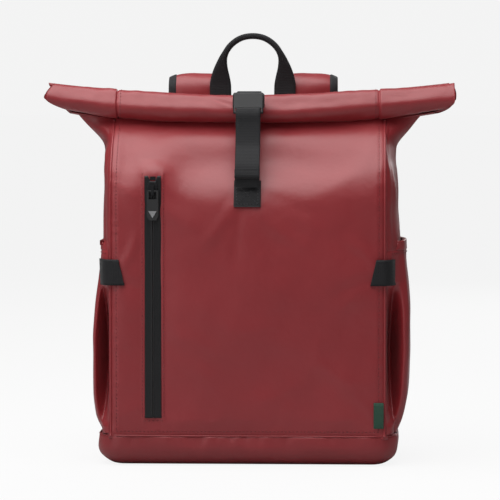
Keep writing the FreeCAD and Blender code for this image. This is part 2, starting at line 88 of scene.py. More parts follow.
PAD_X, PAD_HALF, PAD_LOW, PAD_HIGH, PAD_BACK = 63.0, 45.0, 66.0, 262.0, 61.4
PAD_CROWN, PAD_CHANNEL, PAD_PRESSURE, PAD_SWELL = 4.6, 1.2, 4.0, 4.5
SWELL_FRAMES = 20

BAND_Z, BAND_WIDTH, BAND_SEAM_X = 150.0, 80.0, 118.0
YOKE_LOW, YOKE_HIGH, YOKE_HALF = 263.5, 283.5, 86.0

STRAP_TOP = (82.0, 335.0)
ARCH = 12.0
STRAP_X, STRAP_SPREAD, STRAP_HALF = 51.0, 35.0, 27.0
STRAP_EDGE, STRAP_CROWN = 1.2, 3.3
STRAP_ROUND = 0.62  # power of the strap section's rounded edge
LOCK_X, LOCK_Z = 86.0, 106.0
ADJUSTER_WIDTH, ADJUSTER_THICK = 19.6, 1.4

WIDE_STITCH = (3.2, 2.2, 0.3)  # spacing, length, radius
BOX_STITCH = (2.6, 1.9, 0.28)
HANDLE_STITCH = (2.8, 2.0, 0.28)


# ---- small maths ---------------------------------------------------------------------------------
def smoothstep(low, high, value):
    t = np.clip((value - low) / (high - low), 0.0, 1.0)
    return t * t * (3 - 2 * t)


def bump(value, centre, width):
    return np.exp(-((value - centre) / width) ** 2)


def curve(points, soften):
    """A function through points, rounded over about `soften` on each side."""
    xs, ys = zip(*points)
    offsets = np.linspace(-1.6, 1.6, 15) * soften
    weights = np.exp(-(offsets / soften) ** 2)

    def value(x):
        x = np.asarray(x, float)
        return sum(w * np.interp(x + o, xs, ys) for o, w in zip(offsets, weights)) / weights.sum()

    return value


def waves(u, v, seed, wavelength, stretch=1.0, count=26):
    """A smooth random field of about unit size; stretch over 1 makes its folds run along v."""
    rng = np.random.default_rng(seed)
    total = np.zeros(np.broadcast(u, v).shape)
    for _ in range(count):
        angle = rng.uniform(0, 2 * math.pi)
        k = 2 * math.pi / (wavelength * rng.uniform(0.65, 1.5))
        phase = rng.uniform(0, 2 * math.pi)
        total = total + np.sin(k * (u * math.cos(angle) + v * math.sin(angle) / stretch) + phase)
    return total / math.sqrt(count / 2)


def spline(points, count):
    """Catmull-Rom points through the given ones, evenly spaced."""
    p = np.asarray(points, float)
    p = np.vstack([2 * p[0] - p[1], p, 2 * p[-1] - p[-2]])
    out = []
    for i in range(1, len(p) - 2):
        t = np.linspace(0, 1, 24, endpoint=False)[:, None]
        a, b, c, d = p[i - 1], p[i], p[i + 1], p[i + 2]
        out.append(0.5 * (2 * b + (c - a) * t + (2 * a - 5 * b + 4 * c - d) * t ** 2
                          + (3 * b - a - 3 * c + d) * t ** 3))
    dense = np.vstack(out + [p[-2:-1]])
    return resample(dense, count)


def resample(dense, count):
    steps = np.r_[0, np.cumsum(np.linalg.norm(np.diff(dense, axis=0), axis=1))]
    wanted = np.linspace(0, steps[-1], count)
    return np.stack([np.interp(wanted, steps, dense[:, i]) for i in range(dense.shape[1])], axis=1)


def lengths(path):
    return np.r_[0, np.cumsum(np.linalg.norm(np.diff(path, axis=0), axis=1))]


def signed_power(v, power):
    return np.sign(v) * np.abs(v) ** power


def unit(v):
    return v / np.maximum(np.linalg.norm(v, axis=-1, keepdims=True), 1e-9)


# ---- materials -----------------------------------------------------------------------------------
def node(tree, kind, **values):
    n = tree.nodes.new(kind)
    for key, value in values.items():
        if key in n.inputs:
            n.inputs[key].default_value = value
        else:
            setattr(n, key, value)
    return n


def base_material(name, color, rough, metallic=0.0, sheen=0.0, coat=0.0, specular=0.5):
    m = bpy.data.materials.new(name)
    m.use_nodes = True
    tree = m.node_tree
    shader = tree.nodes["Principled BSDF"]
    shader.inputs["Base Color"].default_value = (*color, 1)
    shader.inputs["Roughness"].default_value = rough
    shader.inputs["Metallic"].default_value = metallic
    shader.inputs["Specular IOR Level"].default_value = specular
    shader.inputs["Sheen Weight"].default_value = sheen
    shader.inputs["Sheen Roughness"].default_value = 0.4
    shader.inputs["Coat Weight"].default_value = coat
    shader.inputs["Coat Roughness"].default_value = 0.35
    return m, tree, shader


def mapped(tree, source="Object", scale=1.0):
    """Texture coordinates in millimetres."""
    where = node(tree, "ShaderNodeTexCoord")
    size = node(tree, "ShaderNodeMapping", Scale=(scale, scale, scale))
    tree.links.new(where.outputs[source], size.inputs["Vector"])
    return size.outputs["Vector"]


def two_tones(tree, shader, vector, color, change, scale, rough):
    """Slow variation of colour and gloss."""
    noise = node(tree, "ShaderNodeTexNoise", Scale=scale, Detail=4.0, Roughness=0.6)
    tree.links.new(vector, noise.inputs["Vector"])
    ramp = node(tree, "ShaderNodeValToRGB")
    ramp.color_ramp.elements[0].position = 0.3
    ramp.color_ramp.elements[1].position = 0.7
    ramp.color_ramp.elements[0].color = (*[c * (1 - change) for c in color], 1)
    ramp.color_ramp.elements[1].color = (*[min(c * (1 + change), 1) for c in color], 1)
    tree.links.new(noise.outputs["Fac"], ramp.inputs["Fac"])
    tree.links.new(ramp.outputs["Color"], shader.inputs["Base Color"])
    span = node(tree, "ShaderNodeMapRange")
    span.inputs["To Min"].default_value = rough - 0.05
    span.inputs["To Max"].default_value = rough + 0.05
    tree.links.new(noise.outputs["Fac"], span.inputs["Value"])
    tree.links.new(span.outputs["Result"], shader.inputs["Roughness"])


def add_bumps(tree, shader, layers):
    """layers holds (height socket, strength, distance in metres), coarse first."""
    last = None
    for height, strength, distance in layers:
        b = node(tree, "ShaderNodeBump", Strength=strength, Distance=distance)
        tree.links.new(height, b.inputs["Height"])
        if last:
            tree.links.new(last, b.inputs["Normal"])
        last = b.outputs["Normal"]
    tree.links.new(last, shader.inputs["Normal"])


def wave(tree, vector, period, direction, profile="SIN"):
    """Bands of that period, in the units of vector."""
    w = node(tree, "ShaderNodeTexWave", Scale=0.31416 / period)
    w.bands_direction = direction
    w.wave_profile = profile
    w.inputs["Distortion"].default_value = 0.0
    tree.links.new(vector, w.inputs["Vector"])
    return w.outputs["Fac"]


def combine(tree, a, b, operation="MULTIPLY"):
    m = node(tree, "ShaderNodeMath", operation=operation)
    tree.links.new(a, m.inputs[0])
    tree.links.new(b, m.inputs[1])
    return m.outputs[0]


def noise_height(tree, vector, scale, detail=3.0):
    n = node(tree, "ShaderNodeTexNoise", Scale=scale, Detail=detail, Roughness=0.55)
    tree.links.new(vector, n.inputs["Vector"])
    return n.outputs["Fac"]


def coated_cloth(name, color, rough=0.46):
    """Satin coated cloth: a fine plain weave under a smooth film, with soft handling marks."""
    m, tree, shader = base_material(name, color, rough, sheen=0.05, coat=0.12)
    vector = mapped(tree, "Object", 1000.0)
    two_tones(tree, shader, vector, color, 0.07, 0.012, rough)
    soft = noise_height(tree, vector, 0.035, 3.0)
    crumple = noise_height(tree, vector, 0.11, 2.0)
    across = combine(tree, wave(tree, vector, 0.9, "X"), wave(tree, vector, 0.9, "Y"), "ADD")
    weave = combine(tree, across, wave(tree, vector, 0.9, "Z"))
    add_bumps(tree, shader, [(soft, 0.5, 0.0016), (crumple, 0.35, 0.0006), (weave, 0.25, 0.00005)])
    return m


def woven_tape(name, color, period=1.5, rough=0.66, sheen=0.1, depth=0.00022):
    """Nylon webbing: ribs across it and a warp along it. UVs are in millimetres."""
    m, tree, shader = base_material(name, color, rough, sheen=sheen, specular=0.3)
    uv = mapped(tree, "UV", 1.0)
    two_tones(tree, shader, uv, color, 0.16, 0.6, rough)
    ribs = wave(tree, uv, period, "X")
    warp = wave(tree, uv, period * 0.8, "Y")
    weave = combine(tree, ribs, warp)
    add_bumps(tree, shader, [(weave, 0.9, depth)])
    return m


def spacer_mesh(name, color):
    """Open mesh: a net of round holes over a darker ground."""
    m, tree, shader = base_material(name, color, 0.8, sheen=0.3)
    vector = mapped(tree, "Object", 1000.0)
    cells = node(tree, "ShaderNodeTexVoronoi", Scale=0.42, Randomness=0.15)
    tree.links.new(vector, cells.inputs["Vector"])
    ramp = node(tree, "ShaderNodeValToRGB")
    ramp.color_ramp.elements[0].position = 0.28
    ramp.color_ramp.elements[1].position = 0.42
    ramp.color_ramp.elements[0].color = (*[c * 0.25 for c in color], 1)
    ramp.color_ramp.elements[1].color = (*[c * 1.5 for c in color], 1)
    tree.links.new(cells.outputs["Distance"], ramp.inputs["Fac"])
    tree.links.new(ramp.outputs["Color"], shader.inputs["Base Color"])
    add_bumps(tree, shader, [(noise_height(tree, vector, 0.05), 0.3, 0.001),
                             (cells.outputs["Distance"], 0.8, 0.0006)])
    return m


def moulded(name, color, rough, metallic=0.0, coat=0.0):
    """Plastic, rubber or painted metal with a fine texture and rubbed spots."""
    m, tree, shader = base_material(name, color, rough, metallic=metallic, coat=coat)
    vector = mapped(tree, "Object", 1000.0)
    two_tones(tree, shader, vector, color, 0.12, 0.3, rough)
    add_bumps(tree, shader, [(noise_height(tree, vector, 3.0, 2.0), 0.25, 0.00005)])
    return m


RED = (0.248, 0.0165, 0.0215)
BLACK = (0.009, 0.009, 0.0105)
MATERIALS = {
    "shell_fabric": coated_cloth("shell_fabric", RED),
    "boot_fabric": coated_cloth("boot_fabric", (0.226, 0.015, 0.0195), 0.5),
    "strap_fabric": coated_cloth("strap_fabric", (0.236, 0.016, 0.021)),
    "seam_thread": woven_tape("seam_thread", (0.16, 0.014, 0.018), 0.5, 0.6, 0.2, 0.0001),
    "black_webbing": woven_tape("black_webbing", BLACK),
    "black_binding": woven_tape("black_binding", (0.016, 0.016, 0.018), 1.0),
    "black_thread": woven_tape("black_thread", (0.03, 0.03, 0.033), 0.5, 0.5, 0.2, 0.0001),
    "black_mesh": spacer_mesh("black_mesh", (0.022, 0.022, 0.024)),
    "stretch_band": woven_tape("stretch_band", (0.017, 0.017, 0.019), 2.4, 0.7, 0.3, 0.0003),
    "lining_fabric": coated_cloth("lining_fabric", (0.12, 0.12, 0.13), 0.6),
    "foam": moulded("foam", (0.10, 0.10, 0.10), 0.9),
    "stiff_plastic": moulded("stiff_plastic", (0.03, 0.03, 0.03), 0.5),
    "buckle_plastic": moulded("buckle_plastic", (0.015, 0.015, 0.017), 0.42),
    "hook_metal": moulded("hook_metal", (0.009, 0.009, 0.010), 0.5),
    "zip_tape": woven_tape("zip_tape", (0.010, 0.010, 0.011), 0.9, 0.38, 0.05, 0.00005),
    "zip_teeth": moulded("zip_teeth", (0.012, 0.012, 0.013), 0.3),
    "zip_metal": moulded("zip_metal", (0.022, 0.022, 0.024), 0.3, metallic=0.5),
    "pull_rubber": moulded("pull_rubber", (0.014, 0.014, 0.015), 0.55),
    "pull_tip_metal": moulded("pull_tip_metal", (0.72, 0.72, 0.74), 0.3, metallic=1.0),
    "label_fabric": woven_tape("label_fabric", (0.022, 0.066, 0.042), 0.7, 0.7, 0.2, 0.0001),
}


# ---- mesh building -------------------------------------------------------------------------------
def add_piece(name, verts, faces, slot, body, replaces=(), uv=None, material=None):
    """Makes one visible piece. verts are in millimetres, uv holds one (u, v) per vertex."""
    mesh = bpy.data.meshes.new(name)
    mesh.from_pydata((np.asarray(verts, float) * MM).tolist(), [], [list(map(int, f)) for f in faces])
    mesh.validate()
    if uv is not None:
        layer = mesh.uv_layers.new(name="length_and_width")
        corner = np.empty(len(mesh.loops), int)
        mesh.loops.foreach_get("vertex_index", corner)
        layer.data.foreach_set("uv", np.asarray(uv, float)[corner].ravel())
    mesh.polygons.foreach_set("use_smooth", [True] * len(mesh.polygons))
    mesh.materials.append(MATERIALS[material or slot])
    mesh.update()
    piece = bpy.data.objects.new(name, mesh)
    bpy.context.scene.collection.objects.link(piece)
    if body:
        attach(piece, body)
    if replaces:
        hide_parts(*replaces)
    return piece


def grid_faces(rows, cols, wrap=False, start=0):
    last = cols if wrap else cols - 1
    return [(start + r * cols + c, start + r * cols + (c + 1) % cols,
             start + (r + 1) * cols + (c + 1) % cols, start + (r + 1) * cols + c)
            for r in range(rows - 1) for c in range(last)]


def rim_loop(rows, cols):
    """The vertices along a grid's border, going round once."""
    return ([r * cols for r in range(rows)] + [(rows - 1) * cols + c for c in range(1, cols)]
            + [r * cols + cols - 1 for r in range(rows - 2, -1, -1)] + list(range(cols - 2, 0, -1)))


def sheet_solid(points, thickness, flip=False):
    """A grid of points given thickness on its inner side: one closed solid, with its faces."""
    p = np.asarray(points, float)
    du = np.gradient(p, axis=1)
    dv = np.gradient(p, axis=0)
    normal = unit(np.cross(du, dv))
    if flip:
        normal = -normal
    rows, cols = p.shape[:2]
    inner = p - normal * thickness
    verts = np.vstack([p.reshape(-1, 3), inner.reshape(-1, 3)])
    n = rows * cols
    outside = grid_faces(rows, cols)
    inside = [tuple(reversed([i + n for i in f])) for f in outside]
    rim = rim_loop(rows, cols)
    edge = [(a, b, b + n, a + n) for a, b in zip(rim, rim[1:] + rim[:1])]
    faces = outside + inside + edge
    if flip:
        faces = [tuple(reversed(f)) for f in faces]
    return verts, faces


def section(width, thickness, sides=6):
    """A flat rounded section, (across, out), going round once."""
    half, t = width / 2, thickness / 2
    xs = np.linspace(-half + t, half - t, 2 * sides + 1)
    top = np.stack([xs, t + 0 * xs], axis=1)
    low = np.stack([xs[::-1], -t + 0 * xs], axis=1)
    ends = np.linspace(math.pi / 2, -math.pi / 2, 5)[1:-1]
    right = np.stack([half - t + t * np.cos(ends), t * np.sin(ends)], axis=1)
    left = np.stack([-half + t - t * np.cos(ends), -t * np.sin(ends)], axis=1)
    return np.vstack([top, right, low, left])


def sweep(path, across, profile, widths=None, depths=None):
    """Sweeps a closed profile along a path. Returns verts, faces, uv."""
    path = np.asarray(path, float)
    tangent = unit(np.gradient(path, axis=0))
    across = np.broadcast_to(np.asarray(across, float), path.shape)
    across = unit(across - tangent * np.sum(across * tangent, axis=1, keepdims=True))
    out = np.cross(across, tangent)
    n, m = len(path), len(profile)
    w = np.ones(n) if widths is None else np.asarray(widths)
    d = np.ones(n) if depths is None else np.asarray(depths)
    verts = (path[:, None] + across[:, None] * (profile[None, :, :1] * w[:, None, None])
             + out[:, None] * (profile[None, :, 1:] * d[:, None, None]))
    s = lengths(path)
    uv = np.stack([np.repeat(s[:, None], m, 1), np.repeat(profile[None, :, 0], n, 0) * w[:, None]], axis=2)
    faces = grid_faces(n, m, wrap=True)
    faces.append(tuple(range(m)))
    faces.append(tuple(reversed(range((n - 1) * m, n * m))))
    return verts.reshape(-1, 3), faces, uv.reshape(-1, 2)


def webbing(name, path, body, replaces=(), width=22.0, thickness=1.6, slot="black_webbing"):
    verts, faces, uv = sweep(path, (1, 0, 0), section(width, thickness))
    return add_piece(name, verts, faces, slot, body, replaces, uv)


def circle(radius, sides):
    a = np.linspace(0, 2 * math.pi, sides, endpoint=False)
    return np.stack([np.cos(a), -np.sin(a)], axis=1) * radius


def tube(name, path, radius, slot, across=(1, 0, 0)):
    verts, faces, uv = sweep(path, across, circle(radius, 10))
    return add_piece(name, verts, faces, slot, "bag", (), uv)


def join_parts(parts):
    """Several (verts, faces) or (verts, faces, uv) as one."""
    verts, faces, uv, start = [], [], [], 0
    for part in parts:
        verts.append(part[0])
        faces += [tuple(i + start for i in f) for f in part[1]]
        if len(part) > 2:
            uv.append(part[2])
        start += len(part[0])
    return np.vstack(verts), faces, (np.vstack(uv) if uv else None)


def stitch_parts(path, normals, spacing=3.4, length=2.3, radius=0.32, lift=0.05):
    """A row of small sunk stitches along a path on a surface."""
    path = np.asarray(path, float)
    s = lengths(path)
    count = max(int(s[-1] / spacing), 2)
    centres = (np.arange(count) + 0.5) * s[-1] / count
    mid = np.stack([np.interp(centres, s, path[:, i]) for i in range(3)], axis=1)
    ahead = np.stack([np.interp(centres + 0.3, s, path[:, i]) for i in range(3)], axis=1)
    back = np.stack([np.interp(centres - 0.3, s, path[:, i]) for i in range(3)], axis=1)
    t = unit(ahead - back)
    nrm = np.broadcast_to(np.asarray(normals, float), path.shape)
    nrm = unit(np.stack([np.interp(centres, s, nrm[:, i]) for i in range(3)], axis=1))
    side = unit(np.cross(t, nrm))
    nrm = np.cross(side, t)
    stations = np.array([(-0.5, 0.15, -0.7), (-0.36, 0.8, 0.0), (0.0, 1.0, 0.35), (0.36, 0.8, 0.0),
                         (0.5, 0.15, -0.7)])
    angles = np.linspace(0, 2 * math.pi, 6, endpoint=False)
    parts_v, parts_f = [], []
    for k in range(count):
        base = len(parts_v) * 6
        for along, size, rise in stations:
            centre = mid[k] + t[k] * along * length + nrm[k] * (lift + rise * radius)
            ring = [centre + side[k] * math.cos(a) * radius * size + nrm[k] * math.sin(a) * radius * size
                    for a in angles]
            parts_v.append(ring)
        for f in grid_faces(len(stations), 6, wrap=True, start=base):
            parts_f.append(f)
        parts_f.append(tuple(base + i for i in reversed(range(6))))
        parts_f.append(tuple(base + 24 + i for i in range(6)))
    return np.asarray(parts_v).reshape(-1, 3), parts_f


def stitch_piece(name, rows, slot, body="bag"):
    """Rows of stitching as one piece, in black thread on black parts and dark red thread on the rest."""
    verts, faces, _ = join_parts(rows)
    thread = "seam_thread" if slot == "shell_fabric" else "black_thread"
    return add_piece(name, verts, faces, slot, body, (), verts[:, [0, 2]], thread)


def straight(start, end, count):
    """Evenly spaced points on a line."""
    return np.linspace(np.asarray(start, float), np.asarray(end, float), count)


# ---- shell ---------------------------------------------------------------------------------------
# how far back or out the cloth stands at each height: (height, distance)
front_profile = curve([(0, -61), (232, -61.6), (250, -60.0), (264, -54.8), (280, -42), (290, -31),
                       (297, -22), (303, -13.5), (309, -10), (340, -10)], 7.0)
back_profile = curve([(0, 61), (288, 61), (300, 57), (311, 38), (321, 2), (330, -11), (345, -12)], 4.0)
side_profile = curve([(0, 131), (60, 131), (120, 129), (205, 130.5), (238, 130.5), (256, 129.5), (270, 130),
                      (281, 133), (294, 142.5), (308, 158), (318, 170), (330, 180)], 4.0)
crease_profile = curve([(0, 0), (270, 0), (300, -6), (320, -12), (340, -14)], 4.0)


def lift(x, z):
    """The ends of the roll stand higher than its middle, and the cloth below follows."""
    return ROLL_SAG * (x / ROLL_HALF) ** 2 * smoothstep(215.0, 316.0, z)


# pulls and creases in the front panel: from x, z to x, z; height; width
FOLDS = [
    (-116, 176, -92, 214, 1.3, 5.0),
    (-116, 168, -60, 150, -1.1, 6.0),
    (-118, 246, -40, 214, 1.2, 8.0),
    (-112, 268, -52, 232, -1.0, 7.0),
    (-8, 230, -46, 196, 1.2, 7.0),
    (-2, 230, -16, 178, -0.8, 6.0),
    (10, 230, 52, 190, 1.1, 7.0),
    (14, 238, 80, 222, -0.9, 7.0),
    (112, 268, 50, 240, 1.1, 8.0),
    (116, 178, 84, 205, 1.2, 6.0),
    (116, 168, 70, 146, -0.9, 7.0),
    (-70, 120, -20, 96, 0.8, 8.0),
    (60, 96, 108, 64, 0.9, 8.0),
    (-118, 40, -70, 66, 0.9, 7.0),
    (118, 40, 86, 78, 1.0, 7.0),
    (-40, 30, -14, 56, 0.6, 7.0),
    (30, 30, 44, 60, 0.6, 7.0),
]


def fold_field(x, z, folds):
    total = np.zeros(np.broadcast(x, z).shape)
    for x0, z0, x1, z1, height, width in folds:
        length = math.hypot(x1 - x0, z1 - z0)
        ux, uz = (x1 - x0) / length, (z1 - z0) / length
        along = ((x - x0) * ux + (z - z0) * uz) / length
        off = (x - x0) * uz - (z - z0) * ux + 3.0 * np.sin(along * 4.0 + x0)
        fade = smoothstep(-0.12, 0.15, along) * (1 - smoothstep(0.55, 1.15, along))
        ridge, trough = bump(off, 0, width), bump(off, 0, 2.4 * width)
        total = total + height * fade * (ridge - 0.35 * trough)
    return total


def front_point(x, z):
    """The outer face of the front panel at base height z."""
    x, z = np.broadcast_arrays(np.asarray(x, float), np.asarray(z, float))
    u = np.clip(1 - (x / SEAM_X) ** 2, 0, 1)
    away = 1 - bump(x, ZIP_X, 20.0)
    held = bump(x, ZIP_X, 13.0) * smoothstep(28, 40, z) * (1 - smoothstep(258, 274, z))
    early = smoothstep(120, 250, z) * (1 - smoothstep(262, 296, z))
    y = front_profile(z + 15.0 * u * away * early - 10.0 * held * smoothstep(225, 250, z))
    belly = 4.5 * u ** 0.8 * np.sin(np.pi * np.clip((z - 10) / 262, 0, 1)) ** 0.8
    slope = smoothstep(240, 285, z)
    y = y - belly * away * (1 - slope)
    rumple = 0.8 * waves(x, z, 5, 75.0) + 0.2 * waves(x, z, 8, 30.0)
    rumple = rumple - 0.9 * np.abs(waves(x, z, 12, 110.0)) + 0.5
    calm = (1 - held) * smoothstep(0, 14, SEAM_X - np.abs(x))
    y = y - (0.38 * rumple + 0.85 * fold_field(x, z, FOLDS)) * (0.15 * (1 - held) + 0.85 * calm)
    y = y - 0.35 * slope * waves(x, z * 0.4, 21, 44.0) * calm
    lip = bump(np.abs(x - ZIP_X), 8.4, 1.5) * smoothstep(36, 42, z) * (1 - smoothstep(258, 264, z))
    y = y - 0.5 * lip
    edge = np.clip(np.abs(x) - (SEAM_X - 7.0), 0, None)
    y = y + 0.045 * edge ** 2
    top_stitch = bump(np.abs(x), SEAM_X - 5.0, 1.0)
    y = y + 0.35 * top_stitch
    free = smoothstep(BASE_SEAM - 1.0, BASE_SEAM + 16.0, z)
    y = y * free + (FRONT_Y + 0.2) * (1 - free)
    pucker = 0.4 * np.sin(x / 2.1 + 1.4 * waves(x, z, 31, 40.0)) * bump(z, BASE_SEAM + 6, 6.0)
    pucker = pucker + np.sin(z / 2.3 + 1.4 * waves(x, z, 33, 40.0)) * bump(np.abs(x), SEAM_X - 3, 6.0)
    y = y - 0.16 * pucker
    return np.stack([x, y, z + lift(x, z)], axis=-1)


def back_point(x, z):
    x, z = np.broadcast_arrays(np.asarray(x, float), np.asarray(z, float))
    edge = np.clip(np.abs(x) - (SEAM_X - 7.0), 0, None)
    y = back_profile(z) - 0.045 * edge ** 2
    y = y + 0.35 * waves(x, z, 41, 60.0) * smoothstep(0, 14, SEAM_X - np.abs(x))
    y = y + 1.0 * smoothstep(292, 305, z) * (1 - smoothstep(308, 320, z)) * waves(x, z * 0.4, 43, 36.0)
    return np.stack([x, np.minimum(y, BACK_Y + 0.6), z + lift(x, z)], axis=-1)


def gusset_point(side, s, z):
    """s runs from the front seam, 0, to the back seam, 1."""
    s, z = np.broadcast_arrays(np.asarray(s, float), np.asarray(z, float))
    front = front_point(np.full_like(z, side * SEAM_X), z)[..., 1]
    back = back_point(np.full_like(z, side * SEAM_X), z)[..., 1]
    wide, crease = side_profile(z), crease_profile(z)
    wing = smoothstep(258, 290, z)
    t = np.abs(2 * s - 1)
    wide = wide + (2.5 + 3.0 * bump(z, 205, 32) if side > 0 else 0.0) * (1 - wing)
    behind_pocket = smoothstep(38, 62, z) * (1 - smoothstep(138, 162, z)) * (1 - smoothstep(0.3, 0.55, s))
    wide = wide - (wide - SEAM_X - 1.8) * behind_pocket
    box_x = SEAM_X + (wide - SEAM_X) * (1 - t ** 5.0)
    wing_x = SEAM_X + (wide - SEAM_X) * (1 - t ** 1.15)
    x = box_x * (1 - wing) + wing_x * wing
    y = np.where(s < 0.5, front + (crease - front) * s * 2, crease + (back - crease) * (2 * s - 1))
    folds = 0.8 * waves(y, z, 51 + side, 55.0) + 0.9 * wing * waves(y * 0.5, z, 57 + side, 26.0)
    inside = smoothstep(0, 0.12, s) * smoothstep(0, 0.12, 1 - s)
    x = x + folds * inside * 0.8 - 2.2 * bump(s, 0.5, 0.035) * (1 - wing)
    x = x + 0.6 * bump(s, 0.035, 0.03) - 0.5 * bump(s, 0.075, 0.02)
    return np.stack([side * x, y, z + lift(x, z)], axis=-1)


def make_shell():
    z = np.linspace(BASE_SEAM - 3, 322, 190)[:, None]
    x = np.linspace(-SEAM_X, SEAM_X, 226)[None, :]
    verts, faces = sheet_solid(front_point(x, z), CLOTH)
    add_piece("front_panel_cloth", verts, faces, "shell_fabric", "bag", ["front_panel"])
    z = np.linspace(BASE_SEAM - 3, 329, 150)[:, None]
    x = np.linspace(-SEAM_X, SEAM_X, 140)[None, :]
    verts, faces = sheet_solid(back_point(x, z), CLOTH, flip=True)
    add_piece("back_panel_cloth", verts, faces, "shell_fabric", "bag", ["back_panel"])
    z = np.linspace(BASE_SEAM - 3, 331, 160)[:, None]
    s = np.linspace(0, 1, 72)[None, :]
    for side, name in ((-1, "left"), (1, "right")):
        verts, faces = sheet_solid(gusset_point(side, s, z), CLOTH, flip=side < 0)
        add_piece("gusset_cloth_" + name, verts, faces, "shell_fabric", "bag", ["gusset_" + name])
    rows = []
    heights = np.linspace(BASE_SEAM + 4, 300, 160)
    for side in (-1, 1):
        rows.append(stitch_parts(front_point(side * (SEAM_X - 5.0), heights), (0, -1, 0.15)))
        rows.append(stitch_parts(back_point(side * (SEAM_X - 5.0), heights), (0, 1, 0.1)))
    xs = np.linspace(-SEAM_X + 4, SEAM_X - 4, 120)
    rows.append(stitch_parts(front_point(xs, BASE_SEAM + 4.0), (0, -1, 0)))
    stitch_piece("shell_topstitching", rows, "shell_fabric")
    for side, name in ((-1, "left"), (1, "right")):
        path = front_point(side * (SEAM_X + 0.2), np.linspace(BASE_SEAM, 303, 120))
        path[:, 1] -= 0.3
        tube("front_seam_welt_" + name, path, 1.1, "shell_fabric")
        path = back_point(side * (SEAM_X + 0.2), np.linspace(BASE_SEAM, 306, 120))
        tube("back_seam_welt_" + name, path, 1.3, "shell_fabric")


def boot_ring(z, inset, count=260):
    """A rounded rectangle, going round once."""
    r = max(BOOT_CORNER - inset, 4.0)
    a, b = BOOT_HALF_X - inset - r, BOOT_HALF_Y - inset - r
    pts = []
    for cx, cy, start in ((a, b, 0), (-a, b, 90), (-a, -b, 180), (a, -b, 270)):
        for angle in np.radians(np.linspace(start, start + 90, 14)):
            pts.append((cx + r * math.cos(angle), cy + r * math.sin(angle)))
    pts.append(pts[0])
    ring = resample(np.asarray(pts), count + 1)[:-1]
    return np.column_stack([ring, np.full(count, z)])


def make_boot():
    stations = [(BOOT_EDGE * (1 - math.sin(a)), BOOT_EDGE * (1 - math.cos(a)))
                for a in np.radians(np.linspace(90, 0, 12))]
    stations += [(z, 0.0) for z in np.linspace(BOOT_EDGE + 2, BASE_SEAM - 1, 7)]
    stations.append((BASE_SEAM + 1.0, 2.5))
    rings = np.stack([boot_ring(z, inset) for z, inset in stations])
    out = rings[..., :2] / np.linalg.norm(rings[..., :2], axis=-1, keepdims=True)
    x, y, z = np.moveaxis(rings, -1, 0)
    swell = 1.3 * np.sin(np.pi * np.clip(z / BASE_SEAM, 0, 1)) + 0.45 * waves(x + y, z, 61, 30.0)
    pucker = 0.3 * np.sin((x - y) / 2.0) * bump(z, BASE_SEAM - 2, 5.0)
    amount = (swell + pucker) * smoothstep(2, 10, z)
    rings[..., :2] += out * amount[..., None]
    rows, cols = rings.shape[:2]
    inner = boot_ring(BASE_SEAM + 1.0, 5.0)
    verts = np.vstack([rings.reshape(-1, 3), inner, inner - (0, 0, 18)])
    faces = grid_faces(rows, cols, wrap=True) + [tuple(reversed(range(cols)))]
    faces += grid_faces(3, cols, wrap=True, start=(rows - 1) * cols)
    faces.append(tuple(range((rows + 1) * cols, (rows + 2) * cols)))
    add_piece("base_boot_cloth", verts, faces, "boot_fabric", "bag", ["base_boot"])
    ring = boot_ring(BASE_SEAM, 0.2, 400)
    ring = np.vstack([ring, ring[:1]])
    tube("base_seam_welt", ring, 0.8, "boot_fabric", across=(0, 0, 1))


def make_inside():
    """The lining and the front pocket's bag, just behind the outer cloth; both are hidden by it."""
    z = np.linspace(8.0, 284.0, 60)[:, None]
    angle = np.linspace(0, 2 * math.pi, 121)[None, :]
    x = 116.0 * signed_power(np.cos(angle), 0.12) + 0 * z
    front, back = front_profile(z + 18.0) + 9.0, back_profile(z + 8.0) - 7.5
    y = (front + back) / 2 + (back - front) / 2 * signed_power(np.sin(angle), 0.12)
    verts, faces = sheet_solid(np.stack([x, y, z + 0 * x], axis=-1), 0.8)
    add_piece("inner_lining", verts, faces, "lining_fabric", "bag", ["lining"])
    z = np.linspace(36.0, 246.0, 80)[:, None]
    x = np.linspace(-112.0, 40.0, 60)[None, :]
    verts, faces = sheet_solid(front_point(x, z) + (0.0, 3.2, 0.0), 0.8)
    add_piece("front_pocket_back", verts, faces, "lining_fabric", "bag", ["front_pocket_bag"])


# ---- roll ----------------------------------------------------------------------------------------
def roll_centre(x):
    return ROLL_Y + 0 * x, ROLL_Z + ROLL_SAG * (x / ROLL_HALF) ** 2


def roll_surface(x, angle):
    """The outermost face of the roll. angle is in radians, 0 at the back and 90 degrees at the top."""
    y0, z0 = roll_centre(x)
    squeeze = 1.3 * bump(x, 1.0, 13.0)
    seams = sum(0.8 * bump(x, s, 0.9) for s in ROLL_SEAMS)
    for seam_x in ROLL_SEAMS:
        lift = smoothstep(0.0, 1.4, (x - seam_x) * np.sign(seam_x))
        seams = seams - 0.9 * lift * bump(x, seam_x, 22.0)
    pull = np.clip(1 - np.abs(x + 25.0) / 20.0, 0, 1)
    seams = seams + 1.3 * pull * bump(angle, math.radians(112.0) + (x + 38.0) * 0.035, 0.13)
    loose = 1.2 * smoothstep(130, 183, np.abs(x)) * np.cos(angle * 2 + 0.6)
    rumple = 0.42 * waves(x * 0.35, angle * 15, 71, 34.0) + 0.12 * waves(x, angle * 15, 73, 16.0)
    r = -squeeze - seams + loose + rumple
    facing = np.maximum(np.cos(angle - math.radians(143.0)), 0.3)
    flat = ((0.885 / facing) ** -16 + 1) ** (-1 / 16)
    flat = 1 - (1 - flat) * (1 - bump(x, 0.0, 22.0))
    return (y0 + (ROLL_RY + r) * flat * np.cos(angle), z0 + (ROLL_RZ + r) * flat * np.sin(angle))


def roll_shrink(angle):
    """How far the spiral has wound inwards at that angle."""
    return ROLL_WOUND * (angle - ROLL_START) / (ROLL_END - ROLL_START)


